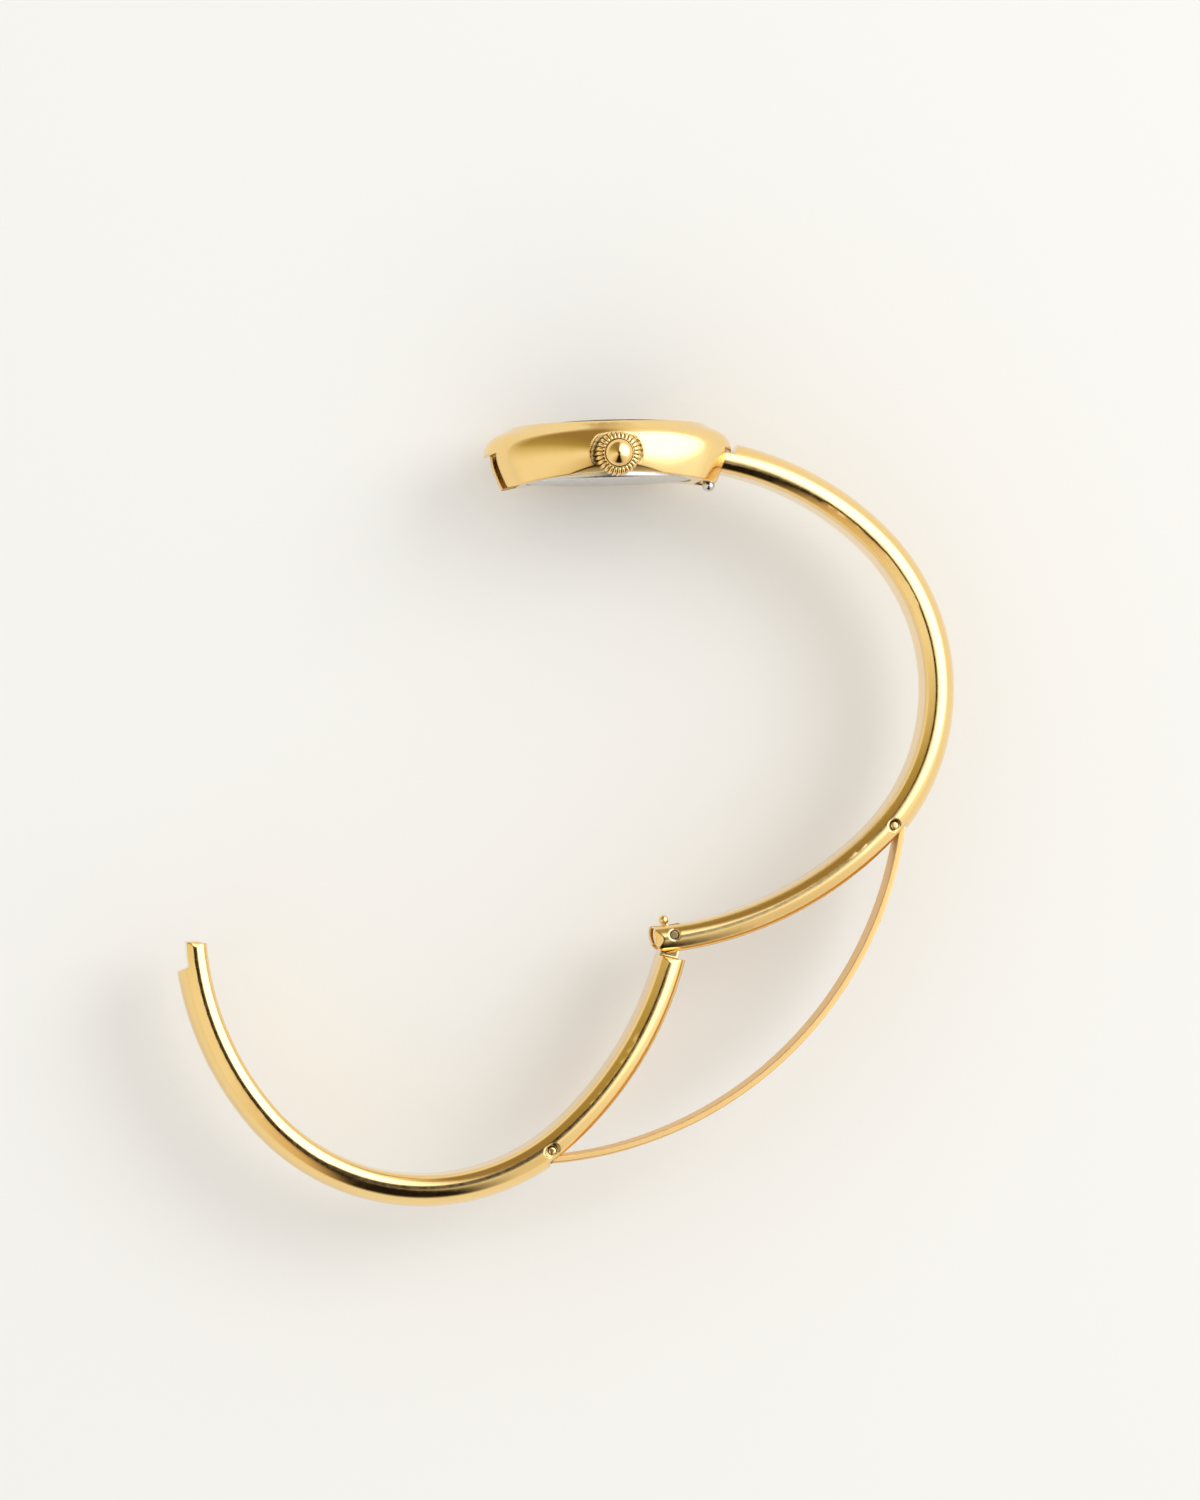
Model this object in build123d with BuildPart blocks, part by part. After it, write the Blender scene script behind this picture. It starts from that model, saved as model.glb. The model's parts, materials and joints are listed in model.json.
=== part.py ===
"""Bangle watch: an oval watch head on a two-arm bangle that a spring blade snaps open and shut.

Millimetres. The centre of the case back's outer face is the origin and Y = 0 is that face.
+X points to 12 o'clock, +Y out through the dial and +Z along the crown, which points up.
The watch is modelled open: arm_6 is swung out on the clasp hinge, and arm_12 is swung out
a little where it hangs on the case.
"""
import math
import os

from build123d import *

os.makedirs("parts", exist_ok=True)

# General fits and overruns
overrun = 2.0
running_fit = 0.04
press_gap = 0.01
face_gap = 0.02

# Case middle and bezel: one domed oval, arched underneath to follow the wrist
case_half_length = 12.4
case_half_width = 9.0
case_rim_height = 3.1
dome_inset = 5.1
dome_rise = 2.6
dome_turn = 75.2
dome_width_share = 0.42
dome_steps = 4
flank_radius = 6.6
flank_drop = 4.0
flank_steps = 3
wrist_arch_radius = 50.0
wrist_arch_height = 0.6
undercut_height = 1.45
undercut_radius = 8.0
undercut_lean = 38.0

# Case back, its flange and gasket
back_half_length = 8.3
back_half_width = 7.6
back_thickness = 0.6
back_edge_round = 0.35
flange_wall = 0.45
flange_rise = 0.38
back_gasket_width = 0.35
back_gasket_height = 0.2

# Movement space, dial and crystal
cavity_half_length = 8.0
cavity_half_width = 7.2
dial_seat_height = 3.6
dial_thickness = 0.4
dial_hole_radius = 0.72
dial_opening_half_length = 7.7
dial_opening_half_width = 6.7
crystal_half_length = 8.6
crystal_half_width = 7.4
crystal_seat_height = 4.95
crystal_gasket_width = 0.25
crystal_apex_height = 6.2
crystal_dome_radius = 66.0

# Slots for the arms at 12 and 6 o'clock
slot_half_width = 3.4
slot_swivel_gap = 1.4
hood_edge_height = 2.7
hood_pitch = 17.0

# Arms: three tangent arcs along the outer crest, and a D-shaped section
bottom_radius = 37.9
side_radius = 22.8
top_radius = 31.7
bottom_turn = 36.8
side_turn = 91.4
arm_half_width = 3.2
arm_thickness = 3.2
arm_dome_height = 1.85
arm_inner_round = 1.05
clasp_pin_depth = 2.28
swivel_open = 6.2
clasp_open = 70.9

# Tongues at the head ends of the arms
tongue_thickness = 2.04
tongue_tip_reach = 9.9
tongue_round = 0.5
shoulder_reach = 12.5
shoulder_slant = 0.9
swivel_reach = 10.4
swivel_height = 1.81

# Blade channel and clasp hinge
channel_half_width = 2.3
channel_depth = 1.3
ear_radius = 2.04
ear_corner = 0.95
ear_inner = 1.8
ear_bottom_gap = 0.12
knuckle_gap = 0.08
arm_6_end_reach = 2.3
arm_6_corner = 0.45
blade_pin_turn = 42.4
blade_pin_depth = 1.47
blade_pin_radius = 0.365
blade_pin_half_length = 2.92
blade_pin_sink_radius = 0.58
blade_pin_sink_place = 2.75
blade_pin_12_slot = 1.24
blade_pin_6_slot = 1.56

# Spring blade
blade_radius = 38.5
blade_half_width = 2.2
blade_edge_thickness = 0.55
blade_dome_height = 0.25
blade_eye_offset = 0.92
blade_eye_radius = 0.87
blade_eye_fit = 0.04
blade_pocket_gap = 0.13

# Quick-release spring bars
barrel_radius = 0.55
barrel_bore_radius = 0.4
barrel_fit = 0.04
tip_radius = 0.34
tip_hole_radius = 0.4
ear_hole_radius = 0.5
ear_tip_radius = 0.4
lever_radius = 0.2
lever_slot_gap = 0.06
plug_length = 0.5
bar_spring_wall = 0.14
bar_spring_fit = 0.03
case_bar_half_length = 3.1
case_bar_reach = 4.05
case_lug_hole_depth = 0.75
case_lever_length = 2.45
case_lever_place = 1.0
case_lever_travel = 0.9
case_knob_radius = 0.65
case_rod_inner = -0.3
clasp_bar_half_length = 1.68
clasp_bar_reach = 2.95
clasp_lever_length = 1.66
clasp_lever_angle = 118.9
clasp_lever_place = 0.6
clasp_lever_travel = 1.2
clasp_knob_radius = 0.5
clasp_rod_inner = 0.3

# Crown, its tube and the stem
crown_height = 2.3
crown_recess_radius = 2.6
crown_recess_depth = 0.33
crown_gap = 0.15
crown_drum_radius = 2.25
crown_drum_length = 0.9
crown_drum_round = 0.2
crown_ring_radius = 2.06
crown_ring_length = 1.43
crown_ring_round = 0.5
crown_lip_radius = 1.48
crown_lip_height = 0.1
crown_dome_radius = 1.36
crown_dome_length = 1.05
crown_flutes = 28
crown_flute_radius = 0.14
crown_bore_radius = 1.2
crown_bore_depth = 1.25
tube_radius = 0.85
tube_bore_radius = 0.5
tube_inner_place = 7.25
tube_outer_place = 9.9
crown_gasket_length = 0.3
crown_gasket_place = 0.15
stem_radius = 0.4
stem_inner_place = 2.4
stem_thread_length = 0.8
sliding_pinion_radius = 0.6
sliding_pinion_length = 1.3
sliding_pinion_place = 2.7
sliding_pinion_teeth = 12

# Movement
movement_half_length = 7.45
movement_half_width = 6.65
plate_bottom_height = 2.35
plate_top_height = 3.5
motion_recess_height = 3.0
bridge_bottom_height = 1.0
bridge_thickness = 0.3
ring_wall = 0.45
wheel_thickness = 0.12
arbor_radius = 0.1
pivot_hole_radius = 0.13
train_module = 0.06
fast_module = 0.05
motion_module = 0.08
tooth_height_share = 0.9
tooth_gap_share = 0.4
tooth_tip_start_share = 0.56
tooth_tip_stop_share = 0.84
centre_teeth = 50
third_pinion_teeth = 10
third_teeth = 36
intermediate_pinion_teeth = 12
intermediate_teeth = 48
rotor_teeth = 8
cannon_teeth = 12
minute_teeth = 36
minute_pinion_teeth = 10
hour_teeth = 40
third_angle = 130.0
intermediate_angle = 80.0
rotor_angle = 60.0
centre_level = 2.1
third_level = 1.85
intermediate_level = 1.6
cannon_level = 3.06
hour_level = 3.25
magnet_radius = 0.55
magnet_height = 0.4
stator_height = 1.8
stator_thickness = 0.45
stator_half_length = 3.4
stator_low = 3.22
stator_high = 4.95
stator_leg_width = 0.8
stator_leg_reach = 6.1
stator_hole_radius = 0.72
coil_radius = 0.5
coil_half_length = 2.4
coil_place = 5.65
core_thickness = 0.25
core_width = 0.8
battery_radius = 2.9
battery_place = -4.35
battery_bottom_height = 1.12
battery_thickness = 1.18
battery_step = 0.25
strap_width = 1.6
strap_length = 5.2
strap_thickness = 0.1
board_width = 2.2
board_length = 6.0
board_thickness = 0.2
board_place = -4.75
board_round = 0.8
bridge_width = 4.6
bridge_length = 5.9
bridge_place = (-0.5, 2.05)
bridge_round = 0.9
pillar_radius = 0.35
pillar_places = ((-2.4, -0.4), (1.45, 2.4), (-2.55, 2.7))
screw_shank_radius = 0.18
screw_head_radius = 0.3
screw_head_height = 0.14
screw_length = 0.8
screw_slot_width = 0.1
screw_slot_depth = 0.06

# Dial furniture
cannon_tube_radius = 0.36
hour_tube_radius = 0.6
hour_tube_bore_radius = 0.42
hour_hand_height = 4.2
minute_hand_height = 4.45
hand_thickness = 0.1
hour_hand_length = 3.3
hour_hand_width = 0.62
minute_hand_length = 5.0
minute_hand_width = 0.5
hand_hub_radius = 0.75
hand_tail_length = 1.0
hand_time = (10, 8)
marker_count = 12
marker_width = 0.3
marker_length = 1.1
marker_height = 0.15
marker_inset = 0.35


def save(piece, name):
    """Label a finished piece and write it to its own file."""
    piece.part.label = name
    export_step(piece.part, f"parts/{name}.step")


def dial_plane(height):
    """Plane across the head, seen from the dial: x to 3 o'clock and y to 12 o'clock."""
    return Plane(origin=(0, height, 0), x_dir=(0, 0, 1), z_dir=(0, 1, 0))


def crown_plane(place):
    """Plane across the crown's axis at a distance from the head's middle."""
    return Plane(origin=(0, crown_height, place), x_dir=(1, 0, 0), z_dir=(0, 0, 1))


def polar(radius, angle):
    """Point at a radius and an angle in degrees from the x direction."""
    return radius * math.cos(math.radians(angle)), radius * math.sin(math.radians(angle))


def shifted(point, step):
    """Point moved by a step in the plane."""
    return point[0] + step[0], point[1] + step[1]


# Case levels: the flank narrows on an arc below the rim, the dome on an ellipse above it
def flank_inset(drop):
    """Inset of the case's outline at a drop below its widest level."""
    return flank_radius - math.sqrt(flank_radius**2 - drop**2)


flank_turn = math.degrees(math.asin(flank_drop / flank_radius))
case_levels = []
for step in range(flank_steps, 0, -1):
    drop = flank_radius * math.sin(math.radians(flank_turn * step / flank_steps))
    inset = flank_inset(drop)
    case_levels.append((case_rim_height - drop, inset, inset * case_half_width / case_half_length))
for step in range(dome_steps + 1):
    turn = math.radians(dome_turn * step / dome_steps)
    inset = dome_inset * (1 - math.cos(turn))
    case_levels.append((case_rim_height + dome_rise * math.sin(turn), inset, inset * dome_width_share))
bezel_height = case_levels[-1][0]

hood_slope = math.tan(math.radians(hood_pitch))
slot_inner_reach = swivel_reach - slot_swivel_gap
hood_inner_height = hood_edge_height + (case_half_length - slot_inner_reach) * hood_slope
recess_floor = case_half_width - crown_recess_depth
undercut_share = 1 - flank_inset(case_rim_height - undercut_height) / case_half_length
undercut_centre = (
    undercut_share * case_half_width - undercut_radius * math.cos(math.radians(undercut_lean)),
    undercut_height + undercut_radius * math.sin(math.radians(undercut_lean)),
)

# Places of the arms: the swivel and the clasp pin, in the closed and in the open bangle
bottom_centre = (0, bottom_radius - clasp_pin_depth)
side_centre = shifted(bottom_centre, polar(bottom_radius - side_radius, bottom_turn - 90))
top_centre = shifted(side_centre, polar(side_radius - top_radius, bottom_turn + side_turn - 90))
tongue_outer_radius = top_radius - arm_thickness + tongue_thickness
tongue_middle_radius = tongue_outer_radius - tongue_thickness / 2


def rise_at(reach, radius):
    """Height above the clasp pin of the top arc of a radius, at a reach from the mirror line."""
    return top_centre[1] + math.sqrt(radius**2 - (reach - top_centre[0]) ** 2)


def angle_at(reach, radius):
    """Angle of a point of the top arc from the x direction, at a reach from the mirror line."""
    return math.degrees(math.acos((reach - top_centre[0]) / radius))


swivel_rise = rise_at(swivel_reach, tongue_middle_radius)
swivel_bearing = math.degrees(math.atan2(-swivel_rise, -swivel_reach))
pin_step = polar(math.hypot(swivel_reach, swivel_rise), swivel_bearing + swivel_open)
clasp_pin_at = (swivel_reach + pin_step[0], swivel_height + pin_step[1], 0)
arm_12_plane = Plane(origin=clasp_pin_at, x_dir=(*polar(1, swivel_open), 0), z_dir=(0, 0, 1))
arm_6_plane = Plane(
    origin=clasp_pin_at, x_dir=(*polar(1, 180 + swivel_open + clasp_open), 0), z_dir=(0, 0, -1)
)
blade_pin = shifted(side_centre, polar(side_radius - blade_pin_depth, blade_pin_turn - 90))
knuckle_radius = arm_thickness - clasp_pin_depth
knuckle_half_width = ear_inner - knuckle_gap


def crest_line(plane, first_turn, last_turn):
    """Outer crest of an arm from one turn to another, in degrees from the bottom of the bangle."""
    bends = (
        (bottom_centre, bottom_radius, -90, bottom_turn),
        (side_centre, side_radius, bottom_turn, bottom_turn + side_turn),
        (top_centre, top_radius, bottom_turn + side_turn, 360),
    )
    with BuildLine(plane) as crest:
        for centre, radius, low, high in bends:
            start, stop = max(low, first_turn), min(high, last_turn)
            if start < stop:
                CenterArc(centre, radius, start - 90, stop - start)
    return crest.wires()[0]


def section_plane(plane, crest):
    """Plane across the start of a crest line: x outwards from the bangle, y across the arm."""
    start = crest @ 0
    outward = start - plane.from_local_coords(Vector(*bottom_centre))
    return Plane(origin=start, x_dir=outward, z_dir=crest % 0)


def arm_section(plane, crest):
    """D-shaped section of an arm: domed outside, flat inside with rounded corners."""
    with BuildSketch(section_plane(plane, crest)) as section:
        with BuildLine():
            dome = EllipticalCenterArc(
                (-arm_dome_height, 0), arm_dome_height, arm_half_width, -90, arc_size=180
            )
            Polyline(
                dome @ 1, (-arm_thickness, arm_half_width), (-arm_thickness, -arm_half_width), dome @ 0
            )
        make_face()
        fillet(section.vertices().group_by(Axis.X)[0], arm_inner_round)
    return section.sketch


def channel_section(plane, crest):
    """Section of the blade channel, open outwards."""
    with BuildSketch(section_plane(plane, crest)) as section:
        with Locations(((overrun - channel_depth) / 2, 0)):
            Rectangle(channel_depth + overrun, 2 * channel_half_width)
    return section.sketch


def tongue_cut(plane, tip_reach):
    """Outline cut off an arm's outer side: it leaves the tongue and a slanted shoulder."""
    low = (shoulder_reach, rise_at(shoulder_reach, tongue_outer_radius))
    slant = (shoulder_slant, arm_thickness - tongue_thickness)
    high = (low[0] + overrun * slant[0], low[1] + overrun * slant[1])
    start = tip_reach - overrun
    arc_angle = angle_at(shoulder_reach, tongue_outer_radius)
    with BuildSketch(plane) as cut:
        with BuildLine():
            floor = CenterArc(
                top_centre, tongue_outer_radius, arc_angle, angle_at(start, tongue_outer_radius) - arc_angle
            )
            Polyline(floor @ 1, (start, high[1]), high, floor @ 0)
        make_face()
    return cut.sketch


def beyond_circle(plane, radius, reach):
    """Outline around the clasp pin that trims an arm's end to a round, up to a reach past the pin."""
    with BuildSketch(plane) as cut:
        with Locations((-reach / 2, 0)):
            Rectangle(reach, 2 * reach)
        Circle(radius, mode=Mode.SUBTRACT)
    return cut.sketch


def end_corners(plane, rise, reach, corner):
    """Outline, in plan, of the corners that are cut off where an arm ends at a reach."""
    length = 2 * (corner + overrun)
    plan_plane = Plane(origin=plane.from_local_coords((0, rise)), x_dir=plane.x_dir, z_dir=plane.y_dir)
    with BuildSketch(plan_plane) as cut:
        with Locations((reach + (corner - overrun) / 2, 0)):
            Rectangle(corner + overrun, 2 * (arm_half_width + overrun))
        with Locations((reach + length / 2, 0)):
            RectangleRounded(length, 2 * arm_half_width, corner, mode=Mode.SUBTRACT)
    return cut.sketch


def pin_section(plane, centre, radius, length=0):
    """Round hole or pin across an arm; with a length, a slot along the arm."""
    with BuildSketch(plane) as section:
        with Locations(centre):
            if length > 2 * radius:
                SlotOverall(length, 2 * radius, rotation=blade_pin_turn)
            else:
                Circle(radius)
    return section.sketch


def knuckle_notch(plane, first_angle, last_angle):
    """Sector cut out of the clasp knuckle, from one angle to another in the plane of the bangle."""
    middle_angle = (first_angle + last_angle) / 2
    with BuildSketch(plane) as notch:
        with BuildLine():
            Polyline(
                (0, 0),
                polar(2 * arm_thickness, first_angle),
                polar(2 * arm_thickness, middle_angle),
                polar(2 * arm_thickness, last_angle),
                close=True,
            )
        make_face()
    return notch.sketch


def lever_plane(plane):
    """Plane through a spring bar that faces along its lever, with x along the bar."""
    return Plane(origin=plane.origin, x_dir=plane.z_dir, z_dir=plane.x_dir)


def lever_slot(plane, place, travel, half_height):
    """Slot that a lever slides in, from its place back by its travel."""
    with BuildSketch(lever_plane(plane)) as slot:
        with Locations((place - travel / 2, 0)):
            SlotOverall(travel + 2 * half_height, 2 * half_height)
    return slot.sketch


lever_slot_half_height = lever_radius + lever_slot_gap
swivel_at = (swivel_reach, swivel_height, 0)
lever_down_angle = 90 - math.degrees(math.asin((swivel_reach - top_centre[0]) / tongue_middle_radius))
case_bar_plane = Plane(
    origin=swivel_at, x_dir=(*polar(1, 180 + lever_down_angle + swivel_open), 0), z_dir=(0, 0, 1)
)
clasp_bar_plane = Plane(origin=clasp_pin_at, x_dir=(*polar(1, clasp_lever_angle), 0), z_dir=(0, 0, 1))

notch_margin = math.degrees(math.asin(lever_slot_half_height / barrel_radius))
clasp_notch_plane = clasp_bar_plane.offset(clasp_lever_place - clasp_lever_travel - lever_slot_half_height)

# Case: middle and bezel in one piece
with BuildPart() as case_body:
    for height, length_inset, width_inset in case_levels:
        with BuildSketch(dial_plane(height)):
            Ellipse(case_half_width - width_inset, case_half_length - length_inset)
    loft()
    with BuildSketch(Plane.XY):
        with Locations((0, wrist_arch_height - wrist_arch_radius)):
            Circle(wrist_arch_radius)
    extrude(amount=case_half_width + overrun, both=True, mode=Mode.SUBTRACT)
    # Hollow under each long side
    with BuildSketch(Plane(origin=(0, 0, 0), x_dir=(0, 0, 1), z_dir=(-1, 0, 0))):
        with Locations((0, (case_rim_height - flank_drop) / 2)):
            Rectangle(2 * (case_half_width + overrun), case_rim_height + flank_drop)
            Rectangle(2 * undercut_centre[0], case_rim_height + flank_drop, mode=Mode.SUBTRACT)
        with Locations(undercut_centre, (-undercut_centre[0], undercut_centre[1])):
            Circle(undercut_radius, mode=Mode.SUBTRACT)
    extrude(amount=case_half_length, both=True, mode=Mode.SUBTRACT)
    # Pockets from behind: case back, its gasket, movement and dial
    with BuildSketch(dial_plane(-flank_drop)):
        Ellipse(back_half_width + press_gap, back_half_length + press_gap)
    extrude(amount=flank_drop + back_thickness + face_gap, mode=Mode.SUBTRACT)
    with BuildSketch(dial_plane(0)):
        Ellipse(
            cavity_half_width + back_gasket_width - press_gap, cavity_half_length + back_gasket_width / 2
        )
    extrude(amount=back_thickness + back_gasket_height + face_gap, mode=Mode.SUBTRACT)
    with BuildSketch(dial_plane(0)):
        Ellipse(cavity_half_width, cavity_half_length)
    extrude(amount=dial_seat_height + dial_thickness + face_gap, mode=Mode.SUBTRACT)
    # Dial opening and crystal seat
    with BuildSketch(dial_plane(dial_seat_height)):
        Ellipse(dial_opening_half_width, dial_opening_half_length)
    extrude(amount=bezel_height, mode=Mode.SUBTRACT)
    with BuildSketch(dial_plane(crystal_seat_height)):
        Ellipse(crystal_half_width, crystal_half_length)
    extrude(amount=bezel_height, mode=Mode.SUBTRACT)
    # Crown recess and the hole of the crown tube
    with BuildSketch(crown_plane(recess_floor)):
        Circle(crown_recess_radius)
    extrude(amount=crown_recess_depth + overrun, mode=Mode.SUBTRACT)
    with BuildSketch(crown_plane(0)):
        Circle(tube_radius + press_gap)
    extrude(amount=case_half_width, mode=Mode.SUBTRACT)
    # Slots for the arms, hooded on the dial side and open towards the wrist
    with BuildSketch(Plane.XY):
        for side in (1, -1):
            outer = case_half_length + overrun
            with BuildLine():
                Polyline(
                    (side * slot_inner_reach, hood_inner_height),
                    (side * outer, hood_edge_height - overrun * hood_slope),
                    (side * outer, -flank_drop),
                    (side * slot_inner_reach, -flank_drop),
                    close=True,
                )
            make_face()
    extrude(amount=slot_half_width, both=True, mode=Mode.SUBTRACT)
    # Blind holes for the tips of the case's spring bar
    with BuildSketch(Plane(origin=swivel_at)):
        Circle(tip_hole_radius)
    extrude(amount=slot_half_width + case_lug_hole_depth, both=True, mode=Mode.SUBTRACT)
save(case_body, "case_body")

# Case back with the flange that snaps into the case
with BuildPart() as case_back:
    with BuildSketch(dial_plane(0)):
        Ellipse(back_half_width, back_half_length)
    extrude(amount=back_thickness)
    fillet(case_back.faces().sort_by(Axis.Y)[0].edges(), back_edge_round)
    with BuildSketch(dial_plane(back_thickness)):
        Ellipse(cavity_half_width - running_fit, cavity_half_length - running_fit)
        Ellipse(cavity_half_width - flange_wall, cavity_half_length - flange_wall, mode=Mode.SUBTRACT)
    extrude(amount=flange_rise)
save(case_back, "case_back")

with BuildPart() as case_back_gasket:
    with BuildSketch(dial_plane(back_thickness + face_gap / 2)):
        Ellipse(
            cavity_half_width + back_gasket_width - 3 * press_gap,
            cavity_half_length + back_gasket_width / 2 - press_gap,
        )
        Ellipse(cavity_half_width, cavity_half_length, mode=Mode.SUBTRACT)
    extrude(amount=back_gasket_height)
save(case_back_gasket, "case_back_gasket")

# Crystal: an oval plate with a domed top, on a gasket in the bezel
with BuildPart() as crystal:
    with BuildSketch(dial_plane(crystal_seat_height + face_gap)):
        Ellipse(crystal_half_width - crystal_gasket_width, crystal_half_length - crystal_gasket_width)
    extrude(amount=crystal_apex_height)
    with Locations((0, crystal_apex_height - crystal_dome_radius, 0)):
        Sphere(crystal_dome_radius, mode=Mode.INTERSECT)
save(crystal, "crystal")

with BuildPart() as crystal_gasket:
    with BuildSketch(dial_plane(crystal_seat_height + face_gap)):
        Ellipse(crystal_half_width - press_gap, crystal_half_length - press_gap)
        Ellipse(
            crystal_half_width - crystal_gasket_width + press_gap,
            crystal_half_length - crystal_gasket_width + press_gap,
            mode=Mode.SUBTRACT,
        )
    extrude(amount=bezel_height - crystal_seat_height - 2 * face_gap)
save(crystal_gasket, "crystal_gasket")

# Dial and its applied hour markers
dial_height = dial_seat_height + dial_thickness
with BuildPart() as dial:
    with BuildSketch(dial_plane(dial_seat_height)):
        Ellipse(cavity_half_width - running_fit, cavity_half_length - running_fit)
        Circle(dial_hole_radius, mode=Mode.SUBTRACT)
    extrude(amount=dial_thickness)
save(dial, "dial")

with BuildPart() as hour_markers:
    with BuildSketch(dial_plane(dial_height)):
        for hour in range(marker_count):
            angle = 90 - 360 * hour / marker_count
            across, along = polar(1, angle)
            reach = 1 / math.hypot(across / dial_opening_half_width, along / dial_opening_half_length)
            with Locations(Location((*polar(reach - marker_inset - marker_length / 2, angle), 0), angle)):
                Rectangle(marker_length, marker_width)
    extrude(amount=marker_height)
save(hour_markers, "hour_markers")


def hand_outline(height, length, width, tail, hub_radius, hub_bore, angle):
    """Leaf-shaped hand with a hub, at an angle from 12 o'clock."""
    across, along = polar(1, angle)
    with BuildSketch(Plane(origin=(0, height, 0), x_dir=(-along, 0, across), z_dir=(0, 1, 0))) as outline:
        with BuildLine():
            Polyline(
                (0, length),
                (width / 2, length / 2),
                (width / 4, -tail),
                (-width / 4, -tail),
                (-width / 2, length / 2),
                close=True,
            )
        make_face()
        Circle(hub_radius)
        Circle(hub_bore, mode=Mode.SUBTRACT)
    return outline.sketch


hour_angle = 30 * (hand_time[0] + hand_time[1] / 60)
minute_angle = 6 * hand_time[1]
with BuildPart() as hour_hand:
    extrude(
        to_extrude=hand_outline(
            hour_hand_height, hour_hand_length, hour_hand_width, hand_tail_length,
            hand_hub_radius, hour_tube_radius + press_gap, hour_angle,
        ),
        amount=hand_thickness,
    )
save(hour_hand, "hour_hand")
with BuildPart() as minute_hand:
    extrude(
        to_extrude=hand_outline(
            minute_hand_height, minute_hand_length, minute_hand_width, hand_tail_length,
            hand_hub_radius, cannon_tube_radius + press_gap, minute_angle,
        ),
        amount=hand_thickness,
    )
save(minute_hand, "minute_hand")


def gear_outline(height, teeth, module, centre=(0, 0)):
    """Spur wheel outline with straight-sided teeth."""
    pitch_radius = teeth * module / 2
    tip, root = pitch_radius + tooth_height_share * module, pitch_radius - module
    tooth_angle = 360 / teeth
    points = []
    for tooth in range(teeth):
        for radius, share in (
            (root, 0), (root, tooth_gap_share), (tip, tooth_tip_start_share), (tip, tooth_tip_stop_share)
        ):
            points.append(polar(radius, tooth_angle * (tooth + share)))
    with BuildSketch(dial_plane(height)) as outline:
        with Locations(centre):
            Polygon(*points, align=None)
    return outline.sketch


def disc_outline(height, radius, centre=(0, 0), bore=0):
    """Disc across the head, with a bore if one is given."""
    with BuildSketch(dial_plane(height)) as outline:
        with Locations(centre):
            Circle(radius)
            if bore:
                Circle(bore, mode=Mode.SUBTRACT)
    return outline.sketch


third_at = polar((centre_teeth + third_pinion_teeth) * train_module / 2, third_angle)
intermediate_at = shifted(
    third_at, polar((third_teeth + intermediate_pinion_teeth) * train_module / 2, intermediate_angle)
)
rotor_at = shifted(
    intermediate_at, polar((intermediate_teeth + rotor_teeth) * fast_module / 2, rotor_angle)
)
minute_distance = (cannon_teeth + minute_teeth) * motion_module / 2
hour_module = 2 * minute_distance / (minute_pinion_teeth + hour_teeth)
minute_at = (minute_distance, 0)
bridge_top_height = bridge_bottom_height + bridge_thickness
pivot_bottom = bridge_bottom_height + face_gap
pivot_top = plate_bottom_height + wheel_thickness
pivot_length = pivot_top - pivot_bottom

# Going train: rotor, intermediate wheel, third wheel, centre wheel
with BuildPart() as rotor:
    extrude(
        to_extrude=gear_outline(intermediate_level, rotor_teeth, fast_module, rotor_at),
        amount=wheel_thickness,
    )
    extrude(to_extrude=disc_outline(stator_height, magnet_radius, rotor_at), amount=magnet_height)
    extrude(to_extrude=disc_outline(pivot_bottom, arbor_radius, rotor_at), amount=pivot_length)
save(rotor, "rotor")

with BuildPart() as intermediate_wheel:
    extrude(
        to_extrude=gear_outline(intermediate_level, intermediate_teeth, fast_module, intermediate_at),
        amount=wheel_thickness,
    )
    extrude(
        to_extrude=gear_outline(third_level, intermediate_pinion_teeth, train_module, intermediate_at),
        amount=wheel_thickness,
    )
    extrude(to_extrude=disc_outline(pivot_bottom, arbor_radius, intermediate_at), amount=pivot_length)
save(intermediate_wheel, "intermediate_wheel")

with BuildPart() as third_wheel:
    extrude(
        to_extrude=gear_outline(third_level, third_teeth, train_module, third_at),
        amount=wheel_thickness,
    )
    extrude(
        to_extrude=gear_outline(centre_level, third_pinion_teeth, train_module, third_at),
        amount=wheel_thickness,
    )
    extrude(to_extrude=disc_outline(pivot_bottom, arbor_radius, third_at), amount=pivot_length)
save(third_wheel, "third_wheel")

with BuildPart() as centre_wheel:
    extrude(to_extrude=gear_outline(centre_level, centre_teeth, train_module), amount=wheel_thickness)
    extrude(to_extrude=disc_outline(pivot_bottom, arbor_radius), amount=pivot_length)
    extrude(
        to_extrude=disc_outline(centre_level, cannon_tube_radius),
        amount=minute_hand_height + hand_thickness - centre_level,
    )
    extrude(to_extrude=gear_outline(cannon_level, cannon_teeth, motion_module), amount=wheel_thickness)
save(centre_wheel, "centre_wheel")

# Motion work under the dial
with BuildPart() as minute_wheel:
    extrude(
        to_extrude=gear_outline(cannon_level, minute_teeth, motion_module, minute_at),
        amount=wheel_thickness,
    )
    extrude(
        to_extrude=gear_outline(hour_level, minute_pinion_teeth, hour_module, minute_at),
        amount=wheel_thickness,
    )
    extrude(
        to_extrude=disc_outline(motion_recess_height - wheel_thickness, arbor_radius, minute_at),
        amount=hour_level + 2 * wheel_thickness - motion_recess_height + wheel_thickness,
    )
save(minute_wheel, "minute_wheel")

with BuildPart() as hour_wheel:
    extrude(to_extrude=gear_outline(hour_level, hour_teeth, hour_module), amount=wheel_thickness)
    extrude(
        to_extrude=disc_outline(hour_level, hour_tube_radius),
        amount=hour_hand_height + hand_thickness - hour_level,
    )
    extrude(
        to_extrude=disc_outline(hour_level, hour_tube_bore_radius), amount=bezel_height, mode=Mode.SUBTRACT
    )
save(hour_wheel, "hour_wheel")

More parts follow.
